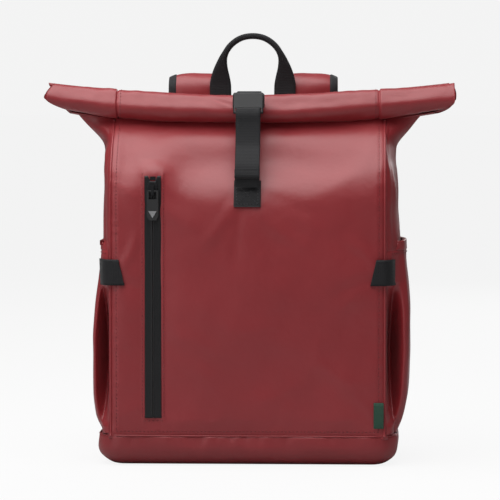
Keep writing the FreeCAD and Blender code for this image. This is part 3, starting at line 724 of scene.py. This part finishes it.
def make_roll():
    turns = np.linspace(ROLL_START, ROLL_END, 150)
    near_seams = np.add.outer(ROLL_SEAMS, SEAM_STEPS).ravel()
    x = np.sort(np.r_[np.linspace(-ROLL_HALF - 1.0, ROLL_HALF + 1.0, 200), near_seams])
    shrink = roll_shrink(turns)
    X, A = np.meshgrid(x, turns, indexing="ij")
    y, z = roll_surface(X, A)
    y0, z0 = roll_centre(X)
    dy, dz = y - y0, z - z0
    size = np.hypot(dy, dz)
    inner_factor = (size - shrink[None, :] - ROLL_GAUGE) / size
    outer_factor = (size - shrink[None, :]) / size
    tip = smoothstep(0, 0.25, A - turns[0])
    outer_factor = outer_factor * tip + (inner_factor + 0.02) * (1 - tip)
    flare = 0.8 * np.sin(1.5 * A + 0.7) * np.sign(X) * smoothstep(165, 183, np.abs(X))
    down, front = np.clip(-np.sin(A), 0, 1), np.clip(-np.cos(A), 0, 1)
    end = np.where(X < 0, 176.0 + 8.5 * front ** 1.5 - 14.5 * down ** 1.3, 184.5 + front - 20.0 * down ** 3)
    reach = np.clip((np.abs(X) - 118.0) / (ROLL_HALF + 1.0 - 118.0), 0, 1)
    X = np.where(np.abs(X) > 118.0, np.sign(X) * (118.0 + reach * (end - 118.0)), X)
    outer = np.stack([X + flare, y0 + dy * outer_factor, z0 + dz * outer_factor], axis=-1)
    inner = np.stack([X + flare, y0 + dy * inner_factor, z0 + dz * inner_factor], axis=-1)
    loop = np.concatenate([outer, inner[:, ::-1]], axis=1)
    rows, cols = loop.shape[:2]
    verts = loop.reshape(-1, 3)
    faces = grid_faces(rows, cols, wrap=True)
    half = cols // 2
    for r, flip in ((0, False), (rows - 1, True)):
        for c in range(half - 1):
            quad = (r * cols + c, r * cols + c + 1, r * cols + cols - 2 - c, r * cols + cols - 1 - c)
            faces.append(tuple(reversed(quad)) if flip else quad)
    faces = [tuple(reversed(f)) for f in faces]
    add_piece("rolled_mouth", verts, faces, "shell_fabric", "bag",
              ["roll_collar", "hem_stiffener_front", "hem_stiffener_back"])
    angles = np.radians(np.linspace(-50, 255, 90))
    rows = []
    for seam in ROLL_SEAMS:
        xs = np.full(90, seam - np.sign(seam) * 3.0)
        y, z = roll_surface(xs, angles)
        out = np.stack([0 * angles, np.cos(angles), np.sin(angles)], axis=1)
        line = np.stack([xs, y, z], axis=1) - out * roll_shrink(angles)[:, None]
        rows.append(stitch_parts(line, out))
    stitch_piece("roll_seam_stitching", rows, "shell_fabric")


# ---- side pockets --------------------------------------------------------------------------------
# how far out each pocket reaches: (height, x)
POCKET_EDGE = {
    -1: curve([(28, 131), (40, 138), (60, 140.5), (115, 140.5), (145, 138), (168, 135), (186, 133.5),
               (202, 133)], 6.0),
    1: curve([(28, 133), (40, 139), (62, 144), (100, 146), (140, 145.5), (168, 143), (186, 141.5),
              (202, 141)], 6.0),
}


def pocket_point(side, s, z, grow=0.0):
    """s runs from the front seam, 0, to the back seam, 1; behind the front seam the cloth folds in."""
    s, z = np.broadcast_arrays(np.asarray(s, float), np.asarray(z, float))
    fold = np.sin(np.pi * np.clip((z - 36) / 128, 0, 1)) ** 0.8 + 0.25 * smoothstep(188, 200, z)
    stations = np.array([0, 0.07, 0.13, 0.21, 0.26, 0.42, 0.6, 0.78, 0.93, 1.0])
    lip = 6.5 if side > 0 else 3.8
    x, y = np.zeros(s.shape), np.zeros(s.shape)
    for r in range(s.shape[0]):
        k, w = fold[r, 0], POCKET_EDGE[side](z[r, 0]) + grow
        valley = SEAM_X + 2.6 + 3.4 * (1 - k)
        px = [SEAM_X + 1.5, valley, valley + 2.5, w - lip, w - 0.8, w, w, w - 3.0, 131.0, SEAM_X + 3.0]
        py = [-59.8, -56.5 + 28.0 * k, -52.0 + 29.0 * k, -45.0 - 6.5 * k, -40.0 - 6.0 * k,
              -14.0, 10.0, 34.0, 53.0, 59.5]
        x[r] = curve(list(zip(stations, px)), 0.016)(s[r])
        y[r] = curve(list(zip(stations, py)), 0.016)(s[r])
    inside = smoothstep(0.16, 0.4, s) * smoothstep(0.0, 0.12, 1 - s)
    x = x + inside * (0.55 * waves(y, z, 81 + side, 80.0, 1.6) + 0.14 * waves(y, z, 83 + side, 34.0))
    x = x - 0.5 * inside * np.abs(waves(y, z, 87 + side, 110.0))
    gather = 0.45 * np.sin(y / 1.9) * (bump(z, 33, 8) + 0.6 * bump(z, 191, 5)) * inside
    return np.stack([side * (x + gather), y, z], axis=-1)


def make_pocket(side, name):
    z = np.linspace(28.5, 199, 120)[:, None]
    s = np.linspace(0, 1, 110)[None, :]
    points = pocket_point(side, s, z)
    verts, faces = sheet_solid(points, 1.3, flip=side < 0)
    add_piece("pocket_cloth_" + name, verts, faces, "shell_fabric", "bag", ["side_pocket_" + name])
    z = np.linspace(192.5, 201, 9)[:, None]
    points = pocket_point(side, s, z, 0.6)
    points[:, 0, 1] -= 0.5
    verts, faces = sheet_solid(points, 3.0, flip=side < 0)
    along_and_up = np.stack(np.broadcast_arrays(150 * s, z - z[0]), axis=-1).reshape(-1, 2)
    add_piece("pocket_mouth_binding_" + name, verts, faces, "shell_fabric", "bag",
              ["pocket_binding_" + name], np.vstack([along_and_up, along_and_up]))
    edge = pocket_point(side, s, np.array([[190.0]]), 0.3)[0]
    stitch_piece("pocket_stitching_" + name, [stitch_parts(edge[4:-2], (side, -0.4, 0))], "shell_fabric")
    make_tab(side, name)


def make_tab(side, name):
    """The webbing tab over a pocket's front corner; its ends slant."""
    outline = [(108.0, -62.6), (117, -62.5), (122.5, -61.6), (127.2, -57.4), (130.0, -50.0), (132.0, -42.0),
               (133.5, -34.0)]
    path = spline([(side * x, y, 0) for x, y in outline], 80)
    heights = np.linspace(TAB_LOW, TAB_HIGH, 12)
    along = np.linspace(0, TAB_LENGTH, 40)[None, :] + (4.0 + TAB_SLANT * (heights - TAB_MIDDLE))[:, None]
    reach = lengths(path)
    points = np.stack([np.interp(along, reach, path[:, 0]), np.interp(along, reach, path[:, 1]),
                       np.repeat(heights[:, None], 40, 1)], axis=-1)
    verts, faces = sheet_solid(points, 1.7, flip=side > 0)
    outer, inner = np.split(verts, 2)
    verts = np.vstack([outer + (outer - inner) * 0.5, inner])
    uv = np.tile(np.stack([along, points[..., 2]], axis=-1).reshape(-1, 2), (2, 1))
    add_piece("pocket_tab_web_" + name, verts, faces, "black_webbing", "bag", ["pocket_tab_" + name], uv)
    rows = []
    for x in (114.5, 119.5):
        z = np.linspace(163, 183, 12)
        line = np.stack([side * (x + TAB_SLANT * (z - TAB_MIDDLE)), np.full(12, -63.3), z], axis=1)
        rows.append(stitch_parts(line, (0, -1, 0), *BOX_STITCH))
    stitch_piece("pocket_tab_stitching_" + name, rows, "black_webbing")


# ---- zip -----------------------------------------------------------------------------------------
def make_zip():
    parts = []
    rows = np.linspace(ZIP_LOW, ZIP_HIGH, 120)[:, None]
    for side in (-1, 1):
        cols = np.linspace(0.25, ZIP_HALF + 1.2, 12)[None, :]
        z = rows - np.clip((4.2 - cols) * 2.1, 0, None) * smoothstep(248, 259, rows)
        y = FRONT_Y - 1.35 - 0.3 * bump(cols, 0.3, 0.8) + 0.12 * (cols / ZIP_HALF) ** 2
        points = np.stack([ZIP_X + side * cols + 0 * z, y + 0 * z, z], axis=-1)
        verts, faces = sheet_solid(points, 0.8, flip=side < 0)
        uv = verts[:, [2, 0]]
        parts.append((verts, faces, uv))
    verts, faces, uv = join_parts(parts)
    add_piece("zip_tapes", verts, faces, "zip_tape", "bag", ["zip_tape_left", "zip_tape_right"], uv)
    parts = []
    for k in range(130):
        z = ZIP_LOW + 4 + k * COIL_STEP
        side = 1 if k % 2 else -1
        path = [(ZIP_X + side * 1.5, FRONT_Y - 0.1, z), (ZIP_X + side * 0.6, FRONT_Y - 0.6, z + 0.2),
                (ZIP_X - side * 0.7, FRONT_Y - 0.5, z + 0.4), (ZIP_X - side * 1.1, FRONT_Y + 0.1, z + 0.5)]
        parts.append(sweep(spline(path, 7), (0, 0, 1), circle(0.42, 6)))
    verts, faces, uv = join_parts(parts)
    add_piece("zip_coil_teeth", verts, faces, "zip_teeth", "bag", ["zip_coil"], uv)
    rows = []
    for x in (ZIP_X - ZIP_STITCH, ZIP_X + ZIP_STITCH):
        rows.append(stitch_parts(front_point(x, np.linspace(ZIP_LOW, ZIP_HIGH + 2, 120)), (0, -1, 0)))
    xs = np.linspace(ZIP_X - ZIP_STITCH, ZIP_X + ZIP_STITCH, 12)
    rows.append(stitch_parts(front_point(xs, ZIP_LOW - 2.5), (0, -1, 0)))
    stitch_piece("zip_topstitching", rows, "shell_fabric")


# ---- closure -------------------------------------------------------------------------------------
def on_roll(y, z):
    """A point (y, z) given in the closure hardware's own frame, as in the CAD model."""
    c, s = math.cos(HOOK_TILT), math.sin(HOOK_TILT)
    return (ROLL_Y - HOOK_REACH * c + y * c + z * s, ROLL_Z + HOOK_REACH * s - y * s + z * c)


def yz_path(points, count):
    return spline([(0.0, y, z) for y, z in points], count)


def make_closure():
    angles = np.radians(np.linspace(72, 137, 12))
    y, z = roll_surface(np.zeros(12), angles)
    arc = [(a + 1.5 * math.cos(t), b + 1.5 * math.sin(t)) for a, b, t in zip(y, z, angles)]
    ring_y, ring_z = on_roll(-3.4, 7.5)
    loop = [(ring_y + 2.4 * math.cos(math.radians(a)), ring_z + 2.4 * math.sin(math.radians(a)))
            for a in (120, 165, 210, 260, 310)]
    rear = [(62.6, 276), (62.7, 288), (61.5, 299.5), (55, 305.6), (40, 313.0), (20, 322.6), (4, 330.0)]
    webbing("rear_strap_web", yz_path(rear + arc + loop, 130), "bag", ["rear_strap"])

    back = [(-63.3, 257.4), (-61.4, 262.5), (-58.2, 268.5), (-52.8, 277), (-47.6, 285), (-44.4, 295),
            (-42.6, 305)]
    over = [on_roll(-5.7, -13), on_roll(-5.6, -9.4), on_roll(-6.2, -7.9), on_roll(-8.2, -7.4),
            on_roll(-10.2, -7.9), on_roll(-10.8, -9.6), on_roll(-10.9, -14)]
    offset = [(y - 1.95, z + 0.7) for y, z in reversed(back[2:])]
    front = yz_path([(-62.0, 249.0)] + back + over + offset + [(-62.2, 264.6), (-63.6, 262.2)], 200)
    piece = webbing("front_strap_web", front, None, ["front_strap", "front_strap_tail"])
    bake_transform(piece)
    hem = [(-64.9, 264.8), (-66.2, 261.0), (-66.6, 258.6), (-65.6, 257.4), (-64.4, 258.6), (-63.9, 262.0)]
    webbing("front_strap_hem", yz_path(hem, 30), "front_closure", (), width=22.4, thickness=1.5)

    heights = np.linspace(231.5, 254.5, 24)
    path = front_point(np.zeros(24), heights)
    path[:, 1] -= 1.1
    path[-6:, 1] -= np.linspace(0, 1.6, 6)
    webbing("front_strap_patch", path, "bag", ["front_strap_anchor"], width=24.0, thickness=1.8)
    rows = []
    low, high, half = 234.0, 251.5, 9.5
    box = [((-half, low), (half, low)), ((half, low), (half, high)), ((half, high), (-half, high)),
           ((-half, high), (-half, low)), ((-half, low), (half, high)), ((half, low), (-half, high))]
    for (x0, z0), (x1, z1) in box:
        xs, zs = np.linspace(x0, x1, 14), np.linspace(z0, z1, 14)
        ys = np.interp(zs, path[:, 2], path[:, 1]) - 0.9
        rows.append(stitch_parts(np.stack([xs, ys, zs], axis=1), (0, -1, 0), *BOX_STITCH))
    stitch_piece("closure_box_stitching", rows, "black_webbing")


# ---- back ----------------------------------------------------------------------------------------
def make_handle():
    right = [(29.5, HANDLE_FOOT), (29.6, 318), (29.9, 334), (30.0, 346), (29.2, 357), (26.5, 367.5),
             (20.5, 377.0), (11.0, 383.6), (0, 385.6)]
    outline = right + [(-x, z) for x, z in reversed(right[:-1])]
    path = spline([(x, HANDLE_Y, z) for x, z in outline], 160)
    reach = lengths(path)
    narrow = smoothstep(36, 72, np.minimum(reach, reach[-1] - reach))
    widths, depths = (wide * (1 - narrow) + slim * narrow for wide, slim in zip(HANDLE_WIDE, HANDLE_NARROW))
    angles = np.linspace(0, 2 * math.pi, 28, endpoint=False)
    profile = 0.5 * np.stack([signed_power(np.cos(angles), 0.55), -signed_power(np.sin(angles), 0.8)],
                             axis=1)
    across = np.cross(unit(np.gradient(path, axis=0)), (0, 1, 0))
    verts, faces, uv = sweep(path, across, profile, widths, depths)
    add_piece("handle_web", verts, faces, "black_webbing", "handle", ["top_handle"], uv)
    seam = path[48:-48] + np.array([0, -3.9, 0])
    rows = [stitch_parts(seam, (0, -1, 0), *HANDLE_STITCH)]
    stitch_piece("handle_stitching", rows, "black_webbing", "handle")
    for side, name in ((-1, "left"), (1, "right")):
        patch = spline([(side * 29.3, 62.2, 284), (side * 29.3, 62.3, 292), (side * 29.3, 62.9, 300.8)], 16)
        replaced = ["handle_anchor"] if side < 0 else []
        webbing("handle_patch_" + name, patch, "bag", replaced, width=19.8, thickness=2.0)


def swell(verts, faces, sewn, pressure, limit):
    """Blows a closed pad up with Blender's Cloth, then smooths it by subdivision.

    sewn marks the points that are held; no other point moves further than limit, in millimetres.
    """
    start = np.asarray(verts, float) * MM
    mesh = bpy.data.meshes.new("pad_start")
    mesh.from_pydata(start.tolist(), [], faces)
    pad = bpy.data.objects.new("pad_start", mesh)
    bpy.context.scene.collection.objects.link(pad)
    group = pad.vertex_groups.new(name="sewn")
    group.add([int(i) for i in np.flatnonzero(sewn)], 1.0, "REPLACE")
    cloth = pad.modifiers.new("cloth", "CLOTH")
    cloth.settings.vertex_group_mass = group.name
    cloth.settings.use_pressure = True
    cloth.settings.uniform_pressure_force = pressure
    cloth.settings.effector_weights.gravity = 0.0
    cloth.point_cache.frame_start = 1
    cloth.point_cache.frame_end = SWELL_FRAMES
    for number in range(1, SWELL_FRAMES + 1):
        bpy.context.scene.frame_set(number)
    blown = pad.evaluated_get(bpy.context.evaluated_depsgraph_get())
    end = np.empty(start.size)
    blown.data.vertices.foreach_get("co", end)
    shift = end.reshape(-1, 3) - start
    reach = np.linalg.norm(shift, axis=1, keepdims=True)
    shift = shift * np.minimum(1.0, limit * MM / np.maximum(reach, 1e-9))
    pad.modifiers.remove(cloth)
    bpy.context.scene.frame_set(1)
    mesh.vertices.foreach_set("co", (start + shift).ravel())
    finer = pad.modifiers.new("finer", "SUBSURF")
    finer.levels = 2
    smooth = pad.evaluated_get(bpy.context.evaluated_depsgraph_get()).data
    points = np.empty(len(smooth.vertices) * 3)
    smooth.vertices.foreach_get("co", points)
    polygons = [tuple(p.vertices) for p in smooth.polygons]
    bpy.data.objects.remove(pad)
    return points.reshape(-1, 3) / MM, polygons


def make_back_pad(side, name):
    """A mesh pad with a sewn edge and three sewn channels, blown up between them."""
    rows, cols, power = 57, 25, 5.0
    u = np.linspace(-1, 1, cols)[None, :]
    v = np.linspace(-1, 1, rows)[:, None]
    r = (np.abs(u) ** power + np.abs(v) ** (power * 1.6)) ** (1 / power)
    edge = np.maximum(np.abs(u), np.abs(v))
    scale = np.minimum(edge / np.maximum(r, 1e-6), 1.0)
    x = side * PAD_X + PAD_HALF * u * scale
    z = (PAD_LOW + PAD_HIGH) / 2 + (PAD_HIGH - PAD_LOW) / 2 * v * scale
    channel = (np.arange(rows) % 14 == 0)[:, None] & (np.abs(u) < 0.8)
    rim = edge > 0.999
    crown = (1 - edge ** 7) ** 0.55
    y = PAD_BACK + 0.8 + PAD_CROWN * crown
    y = np.where(channel & ~rim, y - PAD_CHANNEL, y)
    front = np.stack([x, y, z], axis=-1)
    back = np.stack([x, np.full_like(x, PAD_BACK), z], axis=-1)
    count = rows * cols
    outer = [tuple(reversed(f)) for f in grid_faces(rows, cols)]
    rear = [tuple(i + count for i in reversed(f)) for f in outer]
    loop = rim_loop(rows, cols)
    wall = [(b, a, a + count, b + count) for a, b in zip(loop, loop[1:] + loop[:1])]
    verts = np.vstack([front.reshape(-1, 3), back.reshape(-1, 3)])
    sewn = np.r_[(channel | rim).ravel(), np.ones(count, bool)]
    verts, faces = swell(verts, outer + rear + wall, sewn, PAD_PRESSURE, PAD_SWELL)
    piece = add_piece("back_pad_mesh_" + name, verts, faces, "black_mesh", "bag", ["back_pad_" + name])
    border = front.reshape(-1, 3)[loop + loop[:1]]
    border[:, 1] = 62.4
    tube("back_pad_piping_" + name, resample(border, 240), 1.5, "black_binding", across=(0, 1, 0))


def make_band():
    """The stretch band across the back, for a trolley's handle."""
    right = [(0, 83.2), (98, 82.9), (108, 81.2), (116, 73.5), (122.4, 64.2), (124.5, 60.6)]
    outline = [(-x, y) for x, y in reversed(right[1:])] + right
    path = spline([(x, y, BAND_Z) for x, y in outline], 150)
    verts, faces, uv = sweep(path, (0, 0, 1), section(BAND_WIDTH, 1.8, sides=14))
    add_piece("trolley_band_web", verts, faces, "stretch_band", "bag", ["trolley_band"], uv)
    rows = []
    for above in (-36.0, 36.0):
        line = path + (0, 0, above)
        normal = np.cross(unit(np.gradient(line, axis=0)), (0, 0, -1.0))
        normal = np.where(normal[:, 1:2] < 0, -normal, normal)
        rows.append(stitch_parts((line + normal * 0.95)[4:-4], normal[4:-4], 3.4, 2.2, 0.3))
    for side in (-1, 1):
        line = straight((side * BAND_SEAM_X, 71.8, 113), (side * BAND_SEAM_X, 71.8, 187), 40)
        rows.append(stitch_parts(line, (side * 0.8, 0.6, 0), 3.0, 2.1, 0.3))
    stitch_piece("trolley_band_stitching", rows, "stretch_band")


def make_yoke():
    """The webbing that the strap roots are sewn to."""
    z = np.linspace(YOKE_LOW, YOKE_HIGH, 14)[:, None]
    x = np.linspace(-YOKE_HALF, YOKE_HALF, 100)[None, :]
    y = 63.9 + 0.7 * np.sin(np.pi * (z - YOKE_LOW) / 20) + 0.2 * waves(x, z, 95, 18.0)
    edge = 2.2 * np.clip((np.abs(x) - YOKE_HALF + 4) / 4, 0, 1) ** 2
    verts, faces = sheet_solid(np.stack([x + 0 * z, y - edge, z + 0 * x], axis=-1), 2.4, flip=True)
    add_piece("yoke_web", verts, faces, "black_binding", "bag", ["strap_yoke"], verts[:, [0, 2]])
    rows = []
    for z in (YOKE_LOW + 2, YOKE_HIGH - 2):
        rows.append(stitch_parts(straight((-84, 64.3, z), (84, 64.3, z), 80), (0, 1, 0), *WIDE_STITCH))
    stitch_piece("yoke_stitching", rows, "black_binding")


# ---- shoulder straps -----------------------------------------------------------------------------
def strap_line(side):
    """The strap's middle line and half widths, from the yoke over the arch to its low end."""
    pts = [(70.2, 264.0), (70.0, 285.0), (69.8, 310.0), (70.0, 330.0)]
    for a in (165, 140, 115, 90, 65, 40, 15):
        turn = math.radians(a)
        pts.append((STRAP_TOP[0] + ARCH * math.cos(turn), STRAP_TOP[1] + ARCH * math.sin(turn)))
    pts += [(94.0, 322.0), (94.6, 290.0), (95.2, 250.0), (95.2, 210.0), (94.6, 170.0), (94.0, 140.0),
            (94.0, 118.5)]
    dense = spline([(0, y, z) for y, z in pts], 220)
    y, z = dense[:, 1], dense[:, 2]
    hanging = (y > STRAP_TOP[0]).astype(float)
    down = np.clip((STRAP_TOP[1] - z) / 217.0, 0, 1) * hanging
    x = STRAP_X + STRAP_SPREAD * (down ** 1.25 * (1.55 - 0.55 * down))
    half = STRAP_HALF - 3.2 * down
    end = np.clip((138.0 - z) / 19.5, 0, 1) * hanging
    half = half * (1 - 0.42 * end ** 2)
    return np.stack([side * x, y, z], axis=1), half


def strap_rise(across, around):
    """The strap's half thickness at a place across it, -1 to 1, and at the sine of the angle around it."""
    return (STRAP_EDGE + STRAP_CROWN * (1 - np.abs(across) ** 5.0)) * signed_power(around, STRAP_ROUND)


def make_strap(side, name):
    """The padded strap: cover, mesh underside and the binding along both edges."""
    path, half = strap_line(side)
    stations, n = len(path), 40
    taper = 1 - 0.45 * smoothstep(190, stations - 1, np.arange(stations))

    def joined(piece):
        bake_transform(piece)

    a = np.linspace(0, 2 * math.pi, n, endpoint=False)
    c, s = np.cos(a), np.sin(a)
    verts, faces, uv = sweep(path, (1, 0, 0), np.stack([c, -strap_rise(c, s)], axis=1), half, taper)
    verts = verts.reshape(stations, n, 3)
    outward = unit(verts - path[:, None])
    ripple = 0.3 * waves(path[:, 2:3] + path[:, 1:2], np.arange(n)[None, :] * 2.0, 101, 16.0)
    verts = (verts + outward * ripple[..., None] * np.abs(s)[None, :, None]).reshape(-1, 3)
    cover = add_piece("strap_pad_" + name, verts, faces, "strap_fabric", None,
                      ["strap_cover_" + name, "strap_root_" + name], uv)
    joined(cover)

    tangent = unit(np.gradient(path, axis=0))
    out = np.cross(np.broadcast_to((1.0, 0, 0), path.shape), tangent)
    across = unit(np.cross(tangent, out))
    lined = slice(52, stations - 1)
    u = np.linspace(-0.88, 0.88, 24)
    sign = 1.0 if out[150, 1] > 0 else -1.0
    depth = strap_rise(u, np.sin(np.arccos(u)))[None, :] * taper[lined][:, None] + 0.35
    rows = path[lined][:, None] - out[lined][:, None] * sign * depth[..., None]
    rows = rows + across[lined][:, None] * (u[None, :] * half[lined][:, None])[..., None]
    verts, faces = sheet_solid(rows, 0.5, flip=True)
    mesh = add_piece("strap_underside_" + name, verts, faces, "black_mesh", None, ["strap_mesh_" + name])
    joined(mesh)

    wrap = np.radians(np.linspace(-40, 40, 17))
    c, s = np.cos(wrap), np.sin(wrap)
    rim = strap_rise(c, s)
    for edge, tag in ((-1, "inner"), (1, "outer")):
        outer_rim = np.stack([edge * (c + 0.03), -(rim + 0.75 * signed_power(s, 0.3))], axis=1)
        inner_rim = np.stack([edge * (c - 0.05), -rim * 0.6], axis=1)
        ring = np.vstack([outer_rim, inner_rim[::-1]])
        verts, faces, uv = sweep(path, (1, 0, 0), ring if edge < 0 else ring[::-1], half, taper)
        joined(add_piece("strap_binding_%s_%s" % (tag, name), verts, faces, "black_binding", None, (), uv))


def make_adjuster(side, name):
    """The webbing at the strap's low end: keeper, run to the base, and the hanging tail with its hem."""
    body = "strap_" + name
    x = side * LOCK_X
    keeper = [(94.2, 126), (96.0, 119), (96.9, 113), (96.6, 109.6), (94.6, 108.6), (92.4, 110.4),
              (92.4, 116), (93.4, 124)]
    webbing("strap_keeper_web_" + name, spline([(x, y, z) for y, z in keeper], 50), body,
            ["strap_keeper_" + name], width=20.0, thickness=1.5)
    foot = np.array([side * 110.0, 65.6, 47.0])
    top = np.array([x, 90.6, LOCK_Z - 3.0])
    sag = np.array([side * 1.0, -1.2, -2.0])
    path = spline([foot, foot + (top - foot) * 0.33 + sag, foot + (top - foot) * 0.66 + sag * 0.8, top,
                   top + (0, 2.4, 1.6), top + (0, 5.4, 0.2), top + (0, 6.8, -3.6)], 70)
    piece = webbing("adjuster_web_" + name, path, None, ["adjuster_webbing_" + name],
                    width=ADJUSTER_WIDTH, thickness=ADJUSTER_THICK)
    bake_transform(piece)
    tail = [(0, 97.2, LOCK_Z - 6.0), (0, 98.0, 92), (0.6, 98.6, 74), (1.4, 97.4, 56), (1.8, 96.6, 42)]
    webbing("adjuster_tail_web_" + name, spline([(x + side * w, y, z) for w, y, z in tail], 50), body,
            ["adjuster_tail_" + name], width=ADJUSTER_WIDTH, thickness=ADJUSTER_THICK)
    hem = [(1.6, 98.0, 50), (1.8, 98.0, 43), (1.8, 97.2, 40.6), (1.8, 96.0, 41.4)]
    webbing("adjuster_hem_" + name, spline([(x + side * w, y, z) for w, y, z in hem], 16), body, (),
            width=ADJUSTER_WIDTH + 0.2, thickness=ADJUSTER_THICK)


def make_anchor(side, name):
    """The sewn tab at the base that the adjuster webbing starts from."""
    z = np.linspace(29, 60, 20)[:, None]
    t = (z - 29) / 31
    left = 99.0 + 3.0 * t ** 2
    right = 125.0 - 8.0 * t ** 2
    u = np.linspace(0, 1, 26)[None, :]
    y = 63.0 + np.sin(np.pi * u) + 0 * z
    points = np.stack([side * (left + (right - left) * u), y, z + 0 * u], axis=-1)
    verts, faces = sheet_solid(points, 1.8, flip=side > 0)
    add_piece("anchor_patch_" + name, verts, faces, "black_webbing", "bag", ["anchor_tab_" + name],
              verts[:, [2, 0]])
    rows = []
    corners = [(side * x, 64.1, z) for x, z in ((103, 33), (121, 33), (117, 55), (105, 55), (103, 33))]
    for start, end in zip(corners, corners[1:]):
        rows.append(stitch_parts(straight(start, end, 10), (0, 1, 0), *HANDLE_STITCH))
    stitch_piece("anchor_stitching_" + name, rows, "black_webbing")


def make_label():
    shape = [(-62.0, 34.5), (-63.0, 36), (-63.4, 46), (-63.2, 55), (-62.0, 57)]
    webbing("side_label_web", spline([(LABEL_X, y, z) for y, z in shape], 30), "bag", ["side_label"],
            width=LABEL_WIDTH, thickness=0.9, slot="label_fabric")


# ---- carried-over CAD nodes ----------------------------------------------------------------------
def paint_cad_nodes():
    slots = {s["node"]: s["material_slot"] for s in frame["record"]["subparts"]}
    for name, obj in frame["nodes"].items():
        obj.data.materials.clear()
        obj.data.materials.append(MATERIALS[slots[name]])


# ---- stage ---------------------------------------------------------------------------------------
def area_light(name, location, target, size, energy):
    data = bpy.data.lights.new(name, "AREA")
    data.shape = "RECTANGLE"
    data.size, data.size_y = size
    data.energy = energy
    lamp = bpy.data.objects.new(name, data)
    bpy.context.scene.collection.objects.link(lamp)
    lamp.location = location
    aim(lamp, target)


def aim(obj, target):
    direction = Vector(target) - obj.location
    obj.rotation_euler = direction.to_track_quat("-Z", "Y").to_euler()


def share_of_camera_rays(tree, share, plain, seen, output):
    """Shows the camera a mix of the seen shader, in that share, and lights the bag with the plain one."""
    rays = node(tree, "ShaderNodeLightPath")
    amount = node(tree, "ShaderNodeMath", operation="MULTIPLY")
    amount.inputs[1].default_value = share
    mix = node(tree, "ShaderNodeMixShader")
    tree.links.new(rays.outputs["Is Camera Ray"], amount.inputs[0])
    tree.links.new(amount.outputs[0], mix.inputs[0])
    tree.links.new(plain.outputs[0], mix.inputs[1])
    tree.links.new(seen.outputs[0], mix.inputs[2])
    tree.links.new(mix.outputs[0], tree.nodes[output].inputs["Surface"])


def make_floor():
    half = 60.0
    corners = [(-half, -half, 0), (half, -half, 0), (half, half, 0), (-half, half, 0)]
    data = bpy.data.meshes.new("floor")
    data.from_pydata(corners, [], [(0, 1, 2, 3)])
    floor = bpy.data.objects.new("floor", data)
    bpy.context.scene.collection.objects.link(floor)
    material, tree, shader = base_material("floor_paper", (0.5, 0.5, 0.5), 0.9)
    lit_paper = node(tree, "ShaderNodeEmission", Color=(1, 1, 1, 1), Strength=1.03)
    share_of_camera_rays(tree, 0.86, shader, lit_paper, "Material Output")
    data.materials.append(material)


def make_room():
    world = bpy.data.worlds.new("studio")
    bpy.context.scene.world = world
    world.use_nodes = True
    tree = world.node_tree
    dim = tree.nodes["Background"]
    dim.inputs["Color"].default_value = (1, 1, 1, 1)
    dim.inputs["Strength"].default_value = 0.12
    white = node(tree, "ShaderNodeBackground", Color=(1, 1, 1, 1), Strength=0.9)
    share_of_camera_rays(tree, 1.0, dim, white, "World Output")


def make_camera():
    camera = bpy.data.objects.new("camera", bpy.data.cameras.new("camera"))
    bpy.context.scene.collection.objects.link(camera)
    bpy.context.scene.camera = camera
    azimuth, elevation, distance = math.radians(2.3), math.radians(3.0), 2.6
    target = (0.0, 0.0, 0.19)
    shown = 0.455  # metres across the picture at the target
    camera.location = (distance * math.sin(azimuth) * math.cos(elevation),
                       -distance * math.cos(azimuth) * math.cos(elevation),
                       target[2] + distance * math.sin(elevation))
    aim(camera, target)
    camera.data.sensor_width = 36.0
    camera.data.lens = camera.data.sensor_width * distance / shown


def make_stage():
    """A pale floor in an even white room, soft lights, and the camera."""
    make_floor()
    make_room()
    middle = (0, 0, 0.2)
    area_light("top_softbox", (-0.25, -0.35, 1.5), middle, (1.7, 1.5), 34)
    area_light("front_fill", (-1.5, -2.0, 0.9), middle, (1.2, 1.2), 10)
    area_light("back_fill", (0.9, 1.9, 1.0), middle, (1.2, 1.2), 12)
    bpy.context.scene.view_settings.view_transform = "Standard"
    make_camera()


# ---- assembly ------------------------------------------------------------------------------------
paint_cad_nodes()
make_shell()
make_boot()
make_inside()
make_roll()
for side, name in ((-1, "left"), (1, "right")):
    make_pocket(side, name)
    make_strap(side, name)
    make_adjuster(side, name)
    make_anchor(side, name)
    make_back_pad(side, name)
make_zip()
make_closure()
make_handle()
make_band()
make_yoke()
make_label()
make_stage()
